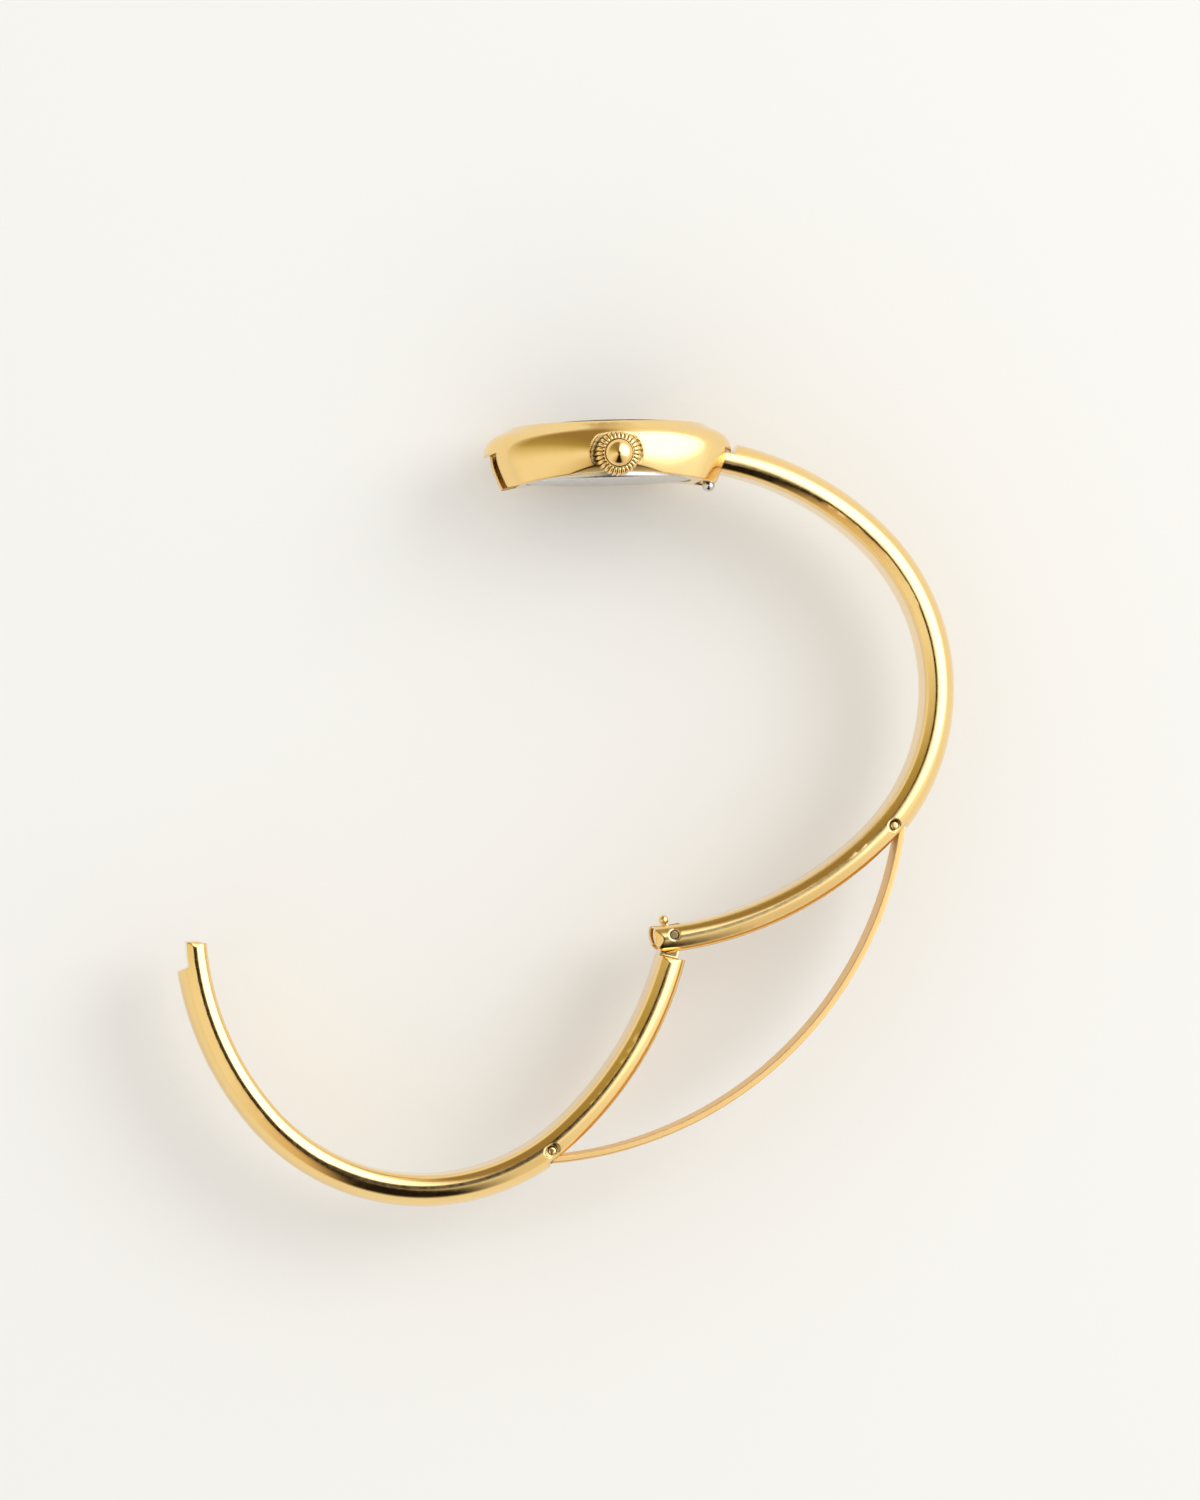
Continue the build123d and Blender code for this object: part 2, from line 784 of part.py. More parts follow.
# Main plate: recess for the motion work, pillars for the train bridge, channel for the stem
with BuildPart() as mainplate:
    with BuildSketch(dial_plane(plate_bottom_height)):
        Ellipse(movement_half_width, movement_half_length)
    extrude(amount=plate_top_height - plate_bottom_height)
    with BuildSketch(dial_plane(bridge_top_height)):
        with Locations(*pillar_places):
            Circle(pillar_radius)
    extrude(amount=plate_bottom_height - bridge_top_height)
    with BuildSketch(dial_plane(motion_recess_height)):
        Circle(hour_teeth * hour_module / 2 + 2 * motion_module)
        with Locations(minute_at):
            Circle(minute_teeth * motion_module / 2 + 2 * motion_module)
    extrude(amount=plate_top_height, mode=Mode.SUBTRACT)
    with BuildSketch(dial_plane(bridge_top_height)):
        Circle(cannon_tube_radius + running_fit)
        with Locations(third_at, intermediate_at, rotor_at):
            Circle(pivot_hole_radius)
    extrude(amount=plate_top_height, mode=Mode.SUBTRACT)
    with BuildSketch(dial_plane(bridge_top_height)):
        with Locations(minute_at):
            Circle(pivot_hole_radius)
        with Locations(*pillar_places):
            Circle(screw_shank_radius + running_fit)
    extrude(amount=plate_bottom_height, mode=Mode.SUBTRACT)
    with BuildSketch(crown_plane(stem_inner_place - overrun / 4)):
        Circle(stem_radius + running_fit)
    extrude(amount=movement_half_width, mode=Mode.SUBTRACT)
    with BuildSketch(crown_plane(sliding_pinion_place - running_fit)):
        Circle(sliding_pinion_radius + 2 * running_fit)
    extrude(amount=sliding_pinion_length + 2 * running_fit, mode=Mode.SUBTRACT)
save(mainplate, "mainplate")

with BuildPart() as train_bridge:
    with BuildSketch(dial_plane(bridge_bottom_height)):
        with Locations(bridge_place):
            RectangleRounded(bridge_width, bridge_length, bridge_round)
        with Locations((0, 0), third_at, intermediate_at, rotor_at):
            Circle(pivot_hole_radius, mode=Mode.SUBTRACT)
        with Locations(*pillar_places):
            Circle(screw_shank_radius + running_fit, mode=Mode.SUBTRACT)
    extrude(amount=bridge_thickness)
    with BuildSketch(dial_plane(bridge_bottom_height)):
        with Locations(*pillar_places):
            Circle(screw_head_radius + running_fit)
    extrude(amount=screw_head_height + face_gap, mode=Mode.SUBTRACT)
save(train_bridge, "train_bridge")

with BuildPart() as bridge_screws:
    with BuildSketch(dial_plane(bridge_bottom_height)):
        with Locations(*pillar_places):
            Circle(screw_head_radius)
    extrude(amount=screw_head_height)
    with BuildSketch(dial_plane(bridge_bottom_height)):
        with Locations(*pillar_places):
            Circle(screw_shank_radius)
    extrude(amount=screw_length)
    with BuildSketch(dial_plane(bridge_bottom_height)):
        with Locations(*pillar_places):
            Rectangle(2 * screw_head_radius, screw_slot_width)
    extrude(amount=screw_slot_depth, mode=Mode.SUBTRACT)
save(bridge_screws, "bridge_screws")

# Step motor: stator with its two legs, and the coil on its core
with BuildPart() as stator:
    with BuildSketch(dial_plane(stator_height)):
        with Locations((0, (stator_low + stator_high) / 2)):
            Rectangle(2 * stator_half_length, stator_high - stator_low)
        for side in (1, -1):
            with Locations(
                (side * (stator_half_length - stator_leg_width / 2), (stator_high + stator_leg_reach) / 2)
            ):
                Rectangle(stator_leg_width, stator_leg_reach - stator_high)
        with Locations(rotor_at):
            Circle(stator_hole_radius, mode=Mode.SUBTRACT)
    extrude(amount=stator_thickness)
save(stator, "stator")

coil_height = stator_height - face_gap - core_thickness / 2
with BuildPart() as coil:
    with BuildSketch(Plane(origin=(coil_place, coil_height, 0))):
        Circle(coil_radius)
    extrude(amount=coil_half_length, both=True)
    with BuildSketch(dial_plane(stator_height - face_gap)):
        with Locations((0, coil_place)):
            Rectangle(2 * stator_half_length, core_width)
    extrude(amount=-core_thickness)
save(coil, "coil")

with BuildPart() as battery:
    extrude(
        to_extrude=disc_outline(battery_bottom_height, battery_radius, (0, battery_place)),
        amount=battery_thickness - battery_step,
    )
    extrude(
        to_extrude=disc_outline(battery_bottom_height, battery_radius - battery_step, (0, battery_place)),
        amount=battery_thickness,
    )
save(battery, "battery")

with BuildPart() as battery_strap:
    with BuildSketch(dial_plane(battery_bottom_height - face_gap)):
        with Locations((0, battery_place)):
            RectangleRounded(strap_width, strap_length, strap_width / 4)
    extrude(amount=-strap_thickness)
save(battery_strap, "battery_strap")

with BuildPart() as circuit_board:
    with BuildSketch(dial_plane(plate_bottom_height - face_gap)):
        with Locations((board_place, 0)):
            RectangleRounded(board_width, board_length, board_round)
    extrude(amount=-board_thickness)
save(circuit_board, "circuit_board")

with BuildPart() as movement_ring:
    with BuildSketch(dial_plane(bridge_bottom_height)):
        Ellipse(cavity_half_width - running_fit, cavity_half_length - running_fit)
        Ellipse(cavity_half_width - ring_wall, cavity_half_length - ring_wall, mode=Mode.SUBTRACT)
    extrude(amount=plate_top_height - bridge_bottom_height)
    with BuildSketch(crown_plane(0)):
        Circle(tube_radius + running_fit)
    extrude(amount=case_half_width, mode=Mode.SUBTRACT)
save(movement_ring, "movement_ring")

# Stem, sliding pinion, crown tube and crown
crown_rear = recess_floor + crown_gap
crown_ring_start = crown_rear + crown_drum_length
crown_ring_stop = crown_ring_start + crown_ring_length
crown_ring_bend = crown_ring_radius - crown_ring_round
crown_bore_end = crown_rear + crown_bore_depth

with BuildPart() as crown_tube:
    with BuildSketch(crown_plane(tube_inner_place)):
        Circle(tube_radius)
        Circle(tube_bore_radius, mode=Mode.SUBTRACT)
    extrude(amount=tube_outer_place - tube_inner_place)
save(crown_tube, "crown_tube")

with BuildPart() as stem:
    with BuildSketch(crown_plane(stem_inner_place)):
        Circle(stem_radius)
    extrude(amount=crown_bore_end + stem_thread_length - stem_inner_place)
save(stem, "stem")

with BuildPart() as sliding_pinion:
    with BuildSketch(crown_plane(sliding_pinion_place)):
        Circle(sliding_pinion_radius)
        Circle(stem_radius + running_fit, mode=Mode.SUBTRACT)
        with PolarLocations(sliding_pinion_radius, sliding_pinion_teeth):
            Circle(train_module, mode=Mode.SUBTRACT)
    extrude(amount=sliding_pinion_length)
save(sliding_pinion, "sliding_pinion")

# One flute about the Z axis: straight along the ring, then over its rounded front
with BuildPart() as flute:
    with BuildLine(Plane.XZ) as flute_path:
        Line((crown_ring_radius, crown_rear), (crown_ring_radius, crown_ring_stop - crown_ring_round))
        bend = CenterArc((crown_ring_bend, crown_ring_stop - crown_ring_round), crown_ring_round, 0, 90)
        Line(bend @ 1, (crown_lip_radius, crown_ring_stop))
    with BuildSketch(Plane(origin=(crown_ring_radius, 0, crown_rear))):
        Circle(crown_flute_radius)
    sweep(path=flute_path.wires()[0])

with BuildPart() as crown:
    with BuildSketch(crown_plane(crown_rear)):
        Circle(crown_drum_radius)
    extrude(amount=crown_drum_length)
    fillet(crown.edges().filter_by(GeomType.CIRCLE).sort_by(Axis.Z)[-1], crown_drum_round)
    with BuildSketch(crown_plane(crown_ring_start)):
        Circle(crown_ring_radius)
    extrude(amount=crown_ring_length)
    fillet(crown.edges().filter_by(GeomType.CIRCLE).sort_by(Axis.Z)[-1], crown_ring_round)
    with Locations((0, crown_height, 0)):
        with PolarLocations(0, crown_flutes):
            add(flute.part, mode=Mode.SUBTRACT)
    with BuildSketch(crown_plane(crown_ring_stop)):
        Circle(crown_lip_radius)
    extrude(amount=crown_lip_height)
    with BuildSketch(crown_plane(crown_ring_stop)):
        Circle(crown_dome_radius)
    extrude(amount=crown_dome_length)
    fillet(
        crown.edges().filter_by(GeomType.CIRCLE).sort_by(Axis.Z)[-1],
        crown_dome_length - crown_lip_height - face_gap,
    )
    with BuildSketch(crown_plane(crown_rear)):
        Circle(crown_bore_radius)
    extrude(amount=crown_bore_depth, mode=Mode.SUBTRACT)
    with BuildSketch(crown_plane(crown_bore_end)):
        Circle(stem_radius + press_gap)
    extrude(amount=stem_thread_length + face_gap, mode=Mode.SUBTRACT)
save(crown, "crown")

with BuildPart() as crown_gasket:
    with BuildSketch(crown_plane(crown_rear + crown_gasket_place)):
        Circle(crown_bore_radius - press_gap)
        Circle(tube_radius + running_fit, mode=Mode.SUBTRACT)
    extrude(amount=crown_gasket_length)
save(crown_gasket, "crown_gasket")

# Arm at 12 o'clock: fork ears at the clasp, blade channel, and a tongue that hangs on the case bar
arm_width = arm_half_width + overrun
swivel_tip_reach = swivel_reach - tongue_thickness / 2
channel_stop = blade_pin_turn + math.degrees((blade_eye_radius + blade_pocket_gap) / side_radius)
ear_start = -math.degrees((ear_radius + overrun / 4) / bottom_radius)
arm_12_crest = crest_line(arm_12_plane, ear_start, 90 + angle_at(swivel_reach, tongue_middle_radius))
channel_12_crest = crest_line(arm_12_plane, 2 * ear_start, channel_stop)
fork_stop = knuckle_radius + ear_bottom_gap
with BuildPart() as arm_12:
    sweep(sections=arm_section(arm_12_plane, arm_12_crest), path=arm_12_crest)
    extrude(
        to_extrude=pin_section(arm_12_plane, (swivel_reach, swivel_rise), tongue_thickness / 2),
        amount=arm_half_width - arm_inner_round / 2,
        both=True,
    )
    extrude(
        to_extrude=tongue_cut(arm_12_plane, swivel_tip_reach),
        amount=arm_width,
        both=True,
        mode=Mode.SUBTRACT,
    )
    sweep(
        sections=channel_section(arm_12_plane, channel_12_crest), path=channel_12_crest, mode=Mode.SUBTRACT
    )
    extrude(
        to_extrude=beyond_circle(arm_12_plane, ear_radius, ear_radius + overrun),
        amount=arm_width,
        both=True,
        mode=Mode.SUBTRACT,
    )
    extrude(
        to_extrude=end_corners(arm_12_plane, 0, -ear_radius, ear_corner),
        amount=2 * arm_thickness,
        both=True,
        mode=Mode.SUBTRACT,
    )
    with BuildSketch(arm_12_plane):
        with Locations(((fork_stop - ear_radius - overrun) / 2, 0)):
            Rectangle(fork_stop + ear_radius + overrun, 2 * arm_thickness)
    extrude(amount=ear_inner, both=True, mode=Mode.SUBTRACT)
    extrude(
        to_extrude=pin_section(arm_12_plane, blade_pin, blade_eye_radius + blade_pocket_gap),
        amount=channel_half_width,
        both=True,
        mode=Mode.SUBTRACT,
    )
    extrude(
        to_extrude=pin_section(arm_12_plane, blade_pin, blade_pin_radius + press_gap),
        amount=arm_width,
        both=True,
        mode=Mode.SUBTRACT,
    )
    for side in (1, -1):
        extrude(
            to_extrude=pin_section(
                arm_12_plane.offset(side * blade_pin_sink_place),
                blade_pin,
                blade_pin_sink_radius,
                blade_pin_12_slot,
            ),
            amount=side * arm_width,
            mode=Mode.SUBTRACT,
        )
    extrude(
        to_extrude=pin_section(arm_12_plane, (0, 0), ear_hole_radius),
        amount=arm_width,
        both=True,
        mode=Mode.SUBTRACT,
    )
    extrude(
        to_extrude=pin_section(arm_12_plane, (swivel_reach, swivel_rise), barrel_radius + barrel_fit),
        amount=arm_width,
        both=True,
        mode=Mode.SUBTRACT,
    )
    extrude(
        to_extrude=lever_slot(
            case_bar_plane, case_lever_place, case_lever_travel, lever_slot_half_height + lever_slot_gap
        ),
        amount=tongue_thickness,
        mode=Mode.SUBTRACT,
    )
save(arm_12, "arm_12")

# Arm at 6 o'clock: the same curve, with a knuckle at the clasp and a free tongue
end_turn = math.degrees(math.asin(arm_6_end_reach / bottom_radius))
arm_6_crest = crest_line(arm_6_plane, end_turn, 90 + angle_at(tongue_tip_reach, tongue_middle_radius))
channel_6_crest = crest_line(arm_6_plane, 0, channel_stop)
with BuildPart() as arm_6:
    sweep(sections=arm_section(arm_6_plane, arm_6_crest), path=arm_6_crest)
    extrude(
        to_extrude=tongue_cut(arm_6_plane, tongue_tip_reach),
        amount=arm_width,
        both=True,
        mode=Mode.SUBTRACT,
    )
    sweep(sections=channel_section(arm_6_plane, channel_6_crest), path=channel_6_crest, mode=Mode.SUBTRACT)
    for rise, reach, corner in (
        (0, arm_6_end_reach, arm_6_corner),
        (swivel_rise, tongue_tip_reach, tongue_round),
    ):
        extrude(
            to_extrude=end_corners(arm_6_plane, rise, reach, corner),
            amount=2 * arm_thickness,
            both=True,
            mode=Mode.SUBTRACT,
        )
    with BuildSketch(arm_6_plane):
        Circle(knuckle_radius)
        with Locations(((arm_6_end_reach + face_gap) / 2, 0)):
            Rectangle(arm_6_end_reach + face_gap, 2 * knuckle_radius)
    extrude(amount=knuckle_half_width, both=True)
    extrude(
        to_extrude=pin_section(arm_6_plane, (0, 0), barrel_radius + barrel_fit),
        amount=arm_width,
        both=True,
        mode=Mode.SUBTRACT,
    )
    extrude(
        to_extrude=knuckle_notch(clasp_notch_plane, -notch_margin, clasp_open + notch_margin),
        amount=clasp_lever_travel + 2 * lever_slot_half_height,
        mode=Mode.SUBTRACT,
    )
    extrude(
        to_extrude=pin_section(arm_6_plane, blade_pin, blade_eye_radius + blade_pocket_gap),
        amount=channel_half_width,
        both=True,
        mode=Mode.SUBTRACT,
    )
    extrude(
        to_extrude=pin_section(arm_6_plane, blade_pin, blade_pin_radius + press_gap),
        amount=arm_width,
        both=True,
        mode=Mode.SUBTRACT,
    )
    for side in (1, -1):
        extrude(
            to_extrude=pin_section(
                arm_6_plane.offset(side * blade_pin_sink_place),
                blade_pin,
                blade_pin_sink_radius,
                blade_pin_6_slot,
            ),
            amount=side * arm_width,
            mode=Mode.SUBTRACT,
        )
save(arm_6, "arm_6")

# Pins of the blade: one across each arm
for plane, name in ((arm_12_plane, "blade_pin_12"), (arm_6_plane, "blade_pin_6")):
    with BuildPart() as blade_pin_piece:
        extrude(
            to_extrude=pin_section(plane, blade_pin, blade_pin_radius),
            amount=blade_pin_half_length,
            both=True,
        )
    save(blade_pin_piece, name)

# Spring blade: one arc between the pins, with an eye at each end
blade_start = arm_12_plane.from_local_coords(Vector(*blade_pin))
blade_stop = arm_6_plane.from_local_coords(Vector(*blade_pin))
blade_chord = (blade_stop - blade_start).length
blade_plane = Plane(origin=blade_start, x_dir=blade_stop - blade_start, z_dir=(0, 0, 1))
blade_reach = blade_radius - blade_eye_offset
blade_half_turn = math.degrees(math.asin(blade_chord / 2 / blade_reach))
blade_centre = (blade_chord / 2, -blade_reach * math.cos(math.radians(blade_half_turn)))
with BuildPart() as spring_blade:
    with BuildLine(blade_plane) as blade_line:
        CenterArc(blade_centre, blade_radius, 90 + blade_half_turn, -2 * blade_half_turn)
    blade_wire = blade_line.wires()[0]
    outward = blade_wire @ 0 - blade_plane.from_local_coords(Vector(*blade_centre))
    with BuildSketch(Plane(origin=blade_wire @ 0, x_dir=outward, z_dir=blade_wire % 0)):
        with BuildLine():
            back = Polyline(
                (blade_edge_thickness / 2, blade_half_width),
                (-blade_edge_thickness / 2, blade_half_width),
                (-blade_edge_thickness / 2, -blade_half_width),
                (blade_edge_thickness / 2, -blade_half_width),
            )
            ThreePointArc(back @ 1, (blade_edge_thickness / 2 + blade_dome_height, 0), back @ 0)
        make_face()
    sweep(path=blade_wire)
    with BuildSketch(blade_plane):
        with Locations((0, 0), (blade_chord, 0)):
            Circle(blade_eye_radius)
    extrude(amount=blade_half_width, both=True)
    with BuildSketch(blade_plane):
        with Locations((0, 0), (blade_chord, 0)):
            Circle(blade_pin_radius + blade_eye_fit)
    extrude(amount=blade_half_width, both=True, mode=Mode.SUBTRACT)
save(spring_blade, "spring_blade")


def bar_pieces(
    plane, half_length, reach, bar_tip_radius, place, travel, length, knob_radius, rod_inner, name
):
    """Quick-release spring bar: barrel, fixed tip, spring, and the sliding tip with its lever."""
    with BuildPart() as barrel:
        with BuildSketch(plane.offset(-half_length)):
            Circle(barrel_radius)
            Circle(barrel_bore_radius, mode=Mode.SUBTRACT)
        extrude(amount=2 * half_length)
        extrude(
            to_extrude=lever_slot(plane, place, travel, lever_slot_half_height),
            amount=2 * barrel_radius,
            mode=Mode.SUBTRACT,
        )
    save(barrel, f"{name}_bar_barrel")
    with BuildPart() as fixed_tip:
        with BuildSketch(plane.offset(-half_length)):
            Circle(barrel_bore_radius - press_gap)
        extrude(amount=plug_length)
        with BuildSketch(plane.offset(-reach)):
            Circle(bar_tip_radius)
        extrude(amount=reach - half_length)
    save(fixed_tip, f"{name}_bar_fixed_tip")
    with BuildPart() as spring:
        with BuildSketch(plane.offset(plug_length - half_length)):
            Circle(barrel_bore_radius - bar_spring_fit)
            Circle(barrel_bore_radius - bar_spring_fit - bar_spring_wall, mode=Mode.SUBTRACT)
        extrude(amount=half_length - plug_length + rod_inner)
    save(spring, f"{name}_bar_spring")
    with BuildPart() as lever_tip:
        with BuildSketch(plane.offset(rod_inner)):
            Circle(barrel_bore_radius - running_fit)
        extrude(amount=half_length - rod_inner)
        with BuildSketch(plane.offset(half_length)):
            Circle(bar_tip_radius)
        extrude(amount=reach - half_length)
        with BuildSketch(lever_plane(plane)):
            with Locations((place, 0)):
                Circle(lever_radius)
        extrude(amount=length)
        with Locations(Location(plane.origin + plane.x_dir * length + plane.z_dir * place)):
            Sphere(knob_radius)
    save(lever_tip, f"{name}_bar_lever_tip")


bar_pieces(
    case_bar_plane, case_bar_half_length, case_bar_reach, tip_radius, case_lever_place,
    case_lever_travel, case_lever_length, case_knob_radius, case_rod_inner, "case",
)
bar_pieces(
    clasp_bar_plane, clasp_bar_half_length, clasp_bar_reach, ear_tip_radius - running_fit,
    clasp_lever_place, clasp_lever_travel, clasp_lever_length, clasp_knob_radius, clasp_rod_inner, "clasp",
)
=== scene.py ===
import json
import math

import bpy
from mathutils import Matrix, Vector


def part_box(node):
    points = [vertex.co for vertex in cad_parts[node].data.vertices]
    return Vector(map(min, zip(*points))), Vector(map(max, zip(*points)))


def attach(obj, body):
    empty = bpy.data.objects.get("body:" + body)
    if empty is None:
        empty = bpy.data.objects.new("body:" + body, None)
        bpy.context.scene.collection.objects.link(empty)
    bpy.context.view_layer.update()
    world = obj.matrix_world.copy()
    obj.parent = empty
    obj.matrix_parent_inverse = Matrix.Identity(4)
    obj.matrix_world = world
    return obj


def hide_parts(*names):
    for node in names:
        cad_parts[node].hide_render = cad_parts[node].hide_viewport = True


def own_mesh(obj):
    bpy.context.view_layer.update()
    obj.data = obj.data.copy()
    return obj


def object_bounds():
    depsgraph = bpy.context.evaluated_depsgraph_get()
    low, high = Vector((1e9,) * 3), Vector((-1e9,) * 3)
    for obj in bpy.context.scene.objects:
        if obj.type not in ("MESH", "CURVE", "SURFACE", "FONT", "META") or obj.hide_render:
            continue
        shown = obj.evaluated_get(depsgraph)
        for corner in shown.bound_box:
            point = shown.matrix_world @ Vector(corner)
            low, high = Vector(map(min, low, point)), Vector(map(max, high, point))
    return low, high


# Sizes in metres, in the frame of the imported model
millimetre = 0.001
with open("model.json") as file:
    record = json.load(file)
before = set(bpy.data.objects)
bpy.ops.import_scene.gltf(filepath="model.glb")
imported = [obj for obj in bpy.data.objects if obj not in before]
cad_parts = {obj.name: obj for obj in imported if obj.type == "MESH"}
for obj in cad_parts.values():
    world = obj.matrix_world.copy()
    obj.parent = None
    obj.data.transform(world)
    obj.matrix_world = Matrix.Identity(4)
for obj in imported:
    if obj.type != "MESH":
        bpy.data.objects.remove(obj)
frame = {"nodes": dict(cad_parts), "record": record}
cad_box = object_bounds()
bpy.ops.object.select_all(action="DESELECT")

# Sockets of the colour mixer, whose names other kinds of value share
first_colour = 6
second_colour = 7
mixed_colour = 2

# The photograph's camera, worked out from the case, the arms and the blade in it
camera_place = Vector((-63.24, -31.35, 609.8)) * millimetre
camera_target = Vector((-1.58, -26.77, 0)) * millimetre
camera_top = Vector((0.0279, 0.9996, 0))
camera_lens = 183.9
sensor_width = 36
clip_near = 10 * millimetre
clip_far = 20

# The floor under the watch
floor_gap = 0.02 * millimetre
floor_size = 3
floor_height = cad_box[0][2] - floor_gap

# The softbox at the upper right: its bearing from +X, its angle from straight up, its distance, width and
# power, and the cosines and extra strength of the glow that metal and glass see in its place
softbox_bearing = 27
softbox_lean = 46
softbox_distance = 0.8
softbox_width = 0.52
softbox_power = 1.75
glow_outer = math.cos(math.radians(46))
glow_inner = math.cos(math.radians(22))
glow_strength = 1.9

# The room round the table, in plain levels: its far end at -X, pale walls, someone who stands at the
# -Y side, the window from +X on, and the dim side left of it
room_strength = 1.25
far_end = "D6CEB4"
pale_wall = "E4E0D6"
shaded_wall = "C8B28E"
someone = "140D06"
near_wall = "D0CABE"
window = "FFFFFF"
window_edge = "E6DECA"
dim_wall = "8C7A52"
lit_corner = "A4955F"

# Where each part of the room starts and stops: shares of the way round from -X through -Y, +X and +Y
room_ring = (
    (0.0, far_end),
    (0.04, pale_wall),
    (0.09, pale_wall),
    (0.165, shaded_wall),
    (0.205, someone),
    (0.285, someone),
    (0.325, near_wall),
    (0.345, near_wall),
    (0.46, window),
    (0.67, window),
    (0.71, window_edge),
    (0.75, dim_wall),
    (0.83, dim_wall),
    (0.92, lit_corner),
    (1.0, far_end),
)
overhead_dark_rim = math.cos(math.radians(11))
overhead_dark_core = math.cos(math.radians(6))
horizon_height = math.sin(math.radians(15))
haze_share = 0.55
even_strength = 0.93

# The crown: its axis along Z, the fluted skirt of its petals, and the outline of its core and dome as
# places along the axis and radii in millimetres
crown_axis_height = 2.3 * millimetre
petal_count = 28
petal_radius = 0.2 * millimetre
petal_reach = 2.0 * millimetre
petal_rear = 8.88 * millimetre
petal_bend_start = 10.45 * millimetre
petal_bend_radius = 0.5 * millimetre
petal_tip_length = 0.08 * millimetre
petal_tip_share = 0.8
petal_sides = 12
petal_bend_steps = 7
petal_smooth_angle = math.radians(50)
core_sides = 84
core_outline = (
    (8.84, 1.84), (10.5, 1.84), (10.85, 1.68), (11.02, 1.5), (11.08, 1.5), (11.2, 1.49), (11.25, 1.46),
    (11.25, 1.41), (11.21, 1.38), (11.13, 1.365),
)
dome_base = 11.13
dome_base_radius = 1.365
dome_rise = 1.07
dome_steps = 14
core_smooth_angle = math.radians(40)
merge_distance = 0.001 * millimetre

# The coil springs in the two spring bars, each with the slide that shortens it
coil_wire_radius = 0.07 * millimetre
coil_wire_sides = 10
coil_turn_steps = 20
coil_smooth_angle = math.radians(50)
coil_springs = (
    ("case_bar_coil", "case_bar_spring", "case_release_slide", 8, 0.9 * millimetre),
    ("clasp_bar_coil", "clasp_bar_spring", "clasp_release_slide", 5, 1.2 * millimetre),
)

# The dial's opening, which its printed minute track follows
dial_half_length = 7.7 * millimetre
dial_half_width = 6.7 * millimetre
minute_step = math.radians(6)
minute_tick_half_width = math.radians(0.45)
minute_track_middle = 0.93
minute_track_half_width = 0.02

# Gold pieces whose edges are too fine to be buffed round
fine_edged_nodes = ("crown", "hour_hand", "minute_hand", "hour_markers", "clasp_bar_lever_tip")


def linear_colour(hex_code):
    """Turns an sRGB hex value into the linear colour that Blender's nodes take."""
    channels = [int(hex_code[place:place + 2], 16) / 255 for place in (0, 2, 4)]
    linear = [value / 12.92 if value <= 0.04045 else ((value + 0.055) / 1.055) ** 2.4 for value in channels]
    return (*linear, 1)


def add_node(tree, kind, settings=None, inputs=None):
    """Adds one node, gives it its settings, and sets or links its inputs, by name or by number."""
    node = tree.nodes.new(kind)
    for name, value in (settings or {}).items():
        setattr(node, name, value)
    for socket, value in (inputs or {}).items():
        if isinstance(value, bpy.types.NodeSocket):
            tree.links.new(value, node.inputs[socket])
        else:
            node.inputs[socket].default_value = value
    return node


def start_material(name):
    """Starts a material with an empty tree."""
    material = bpy.data.materials.new(name)
    material.use_nodes = True
    material.node_tree.nodes.clear()
    return material, material.node_tree


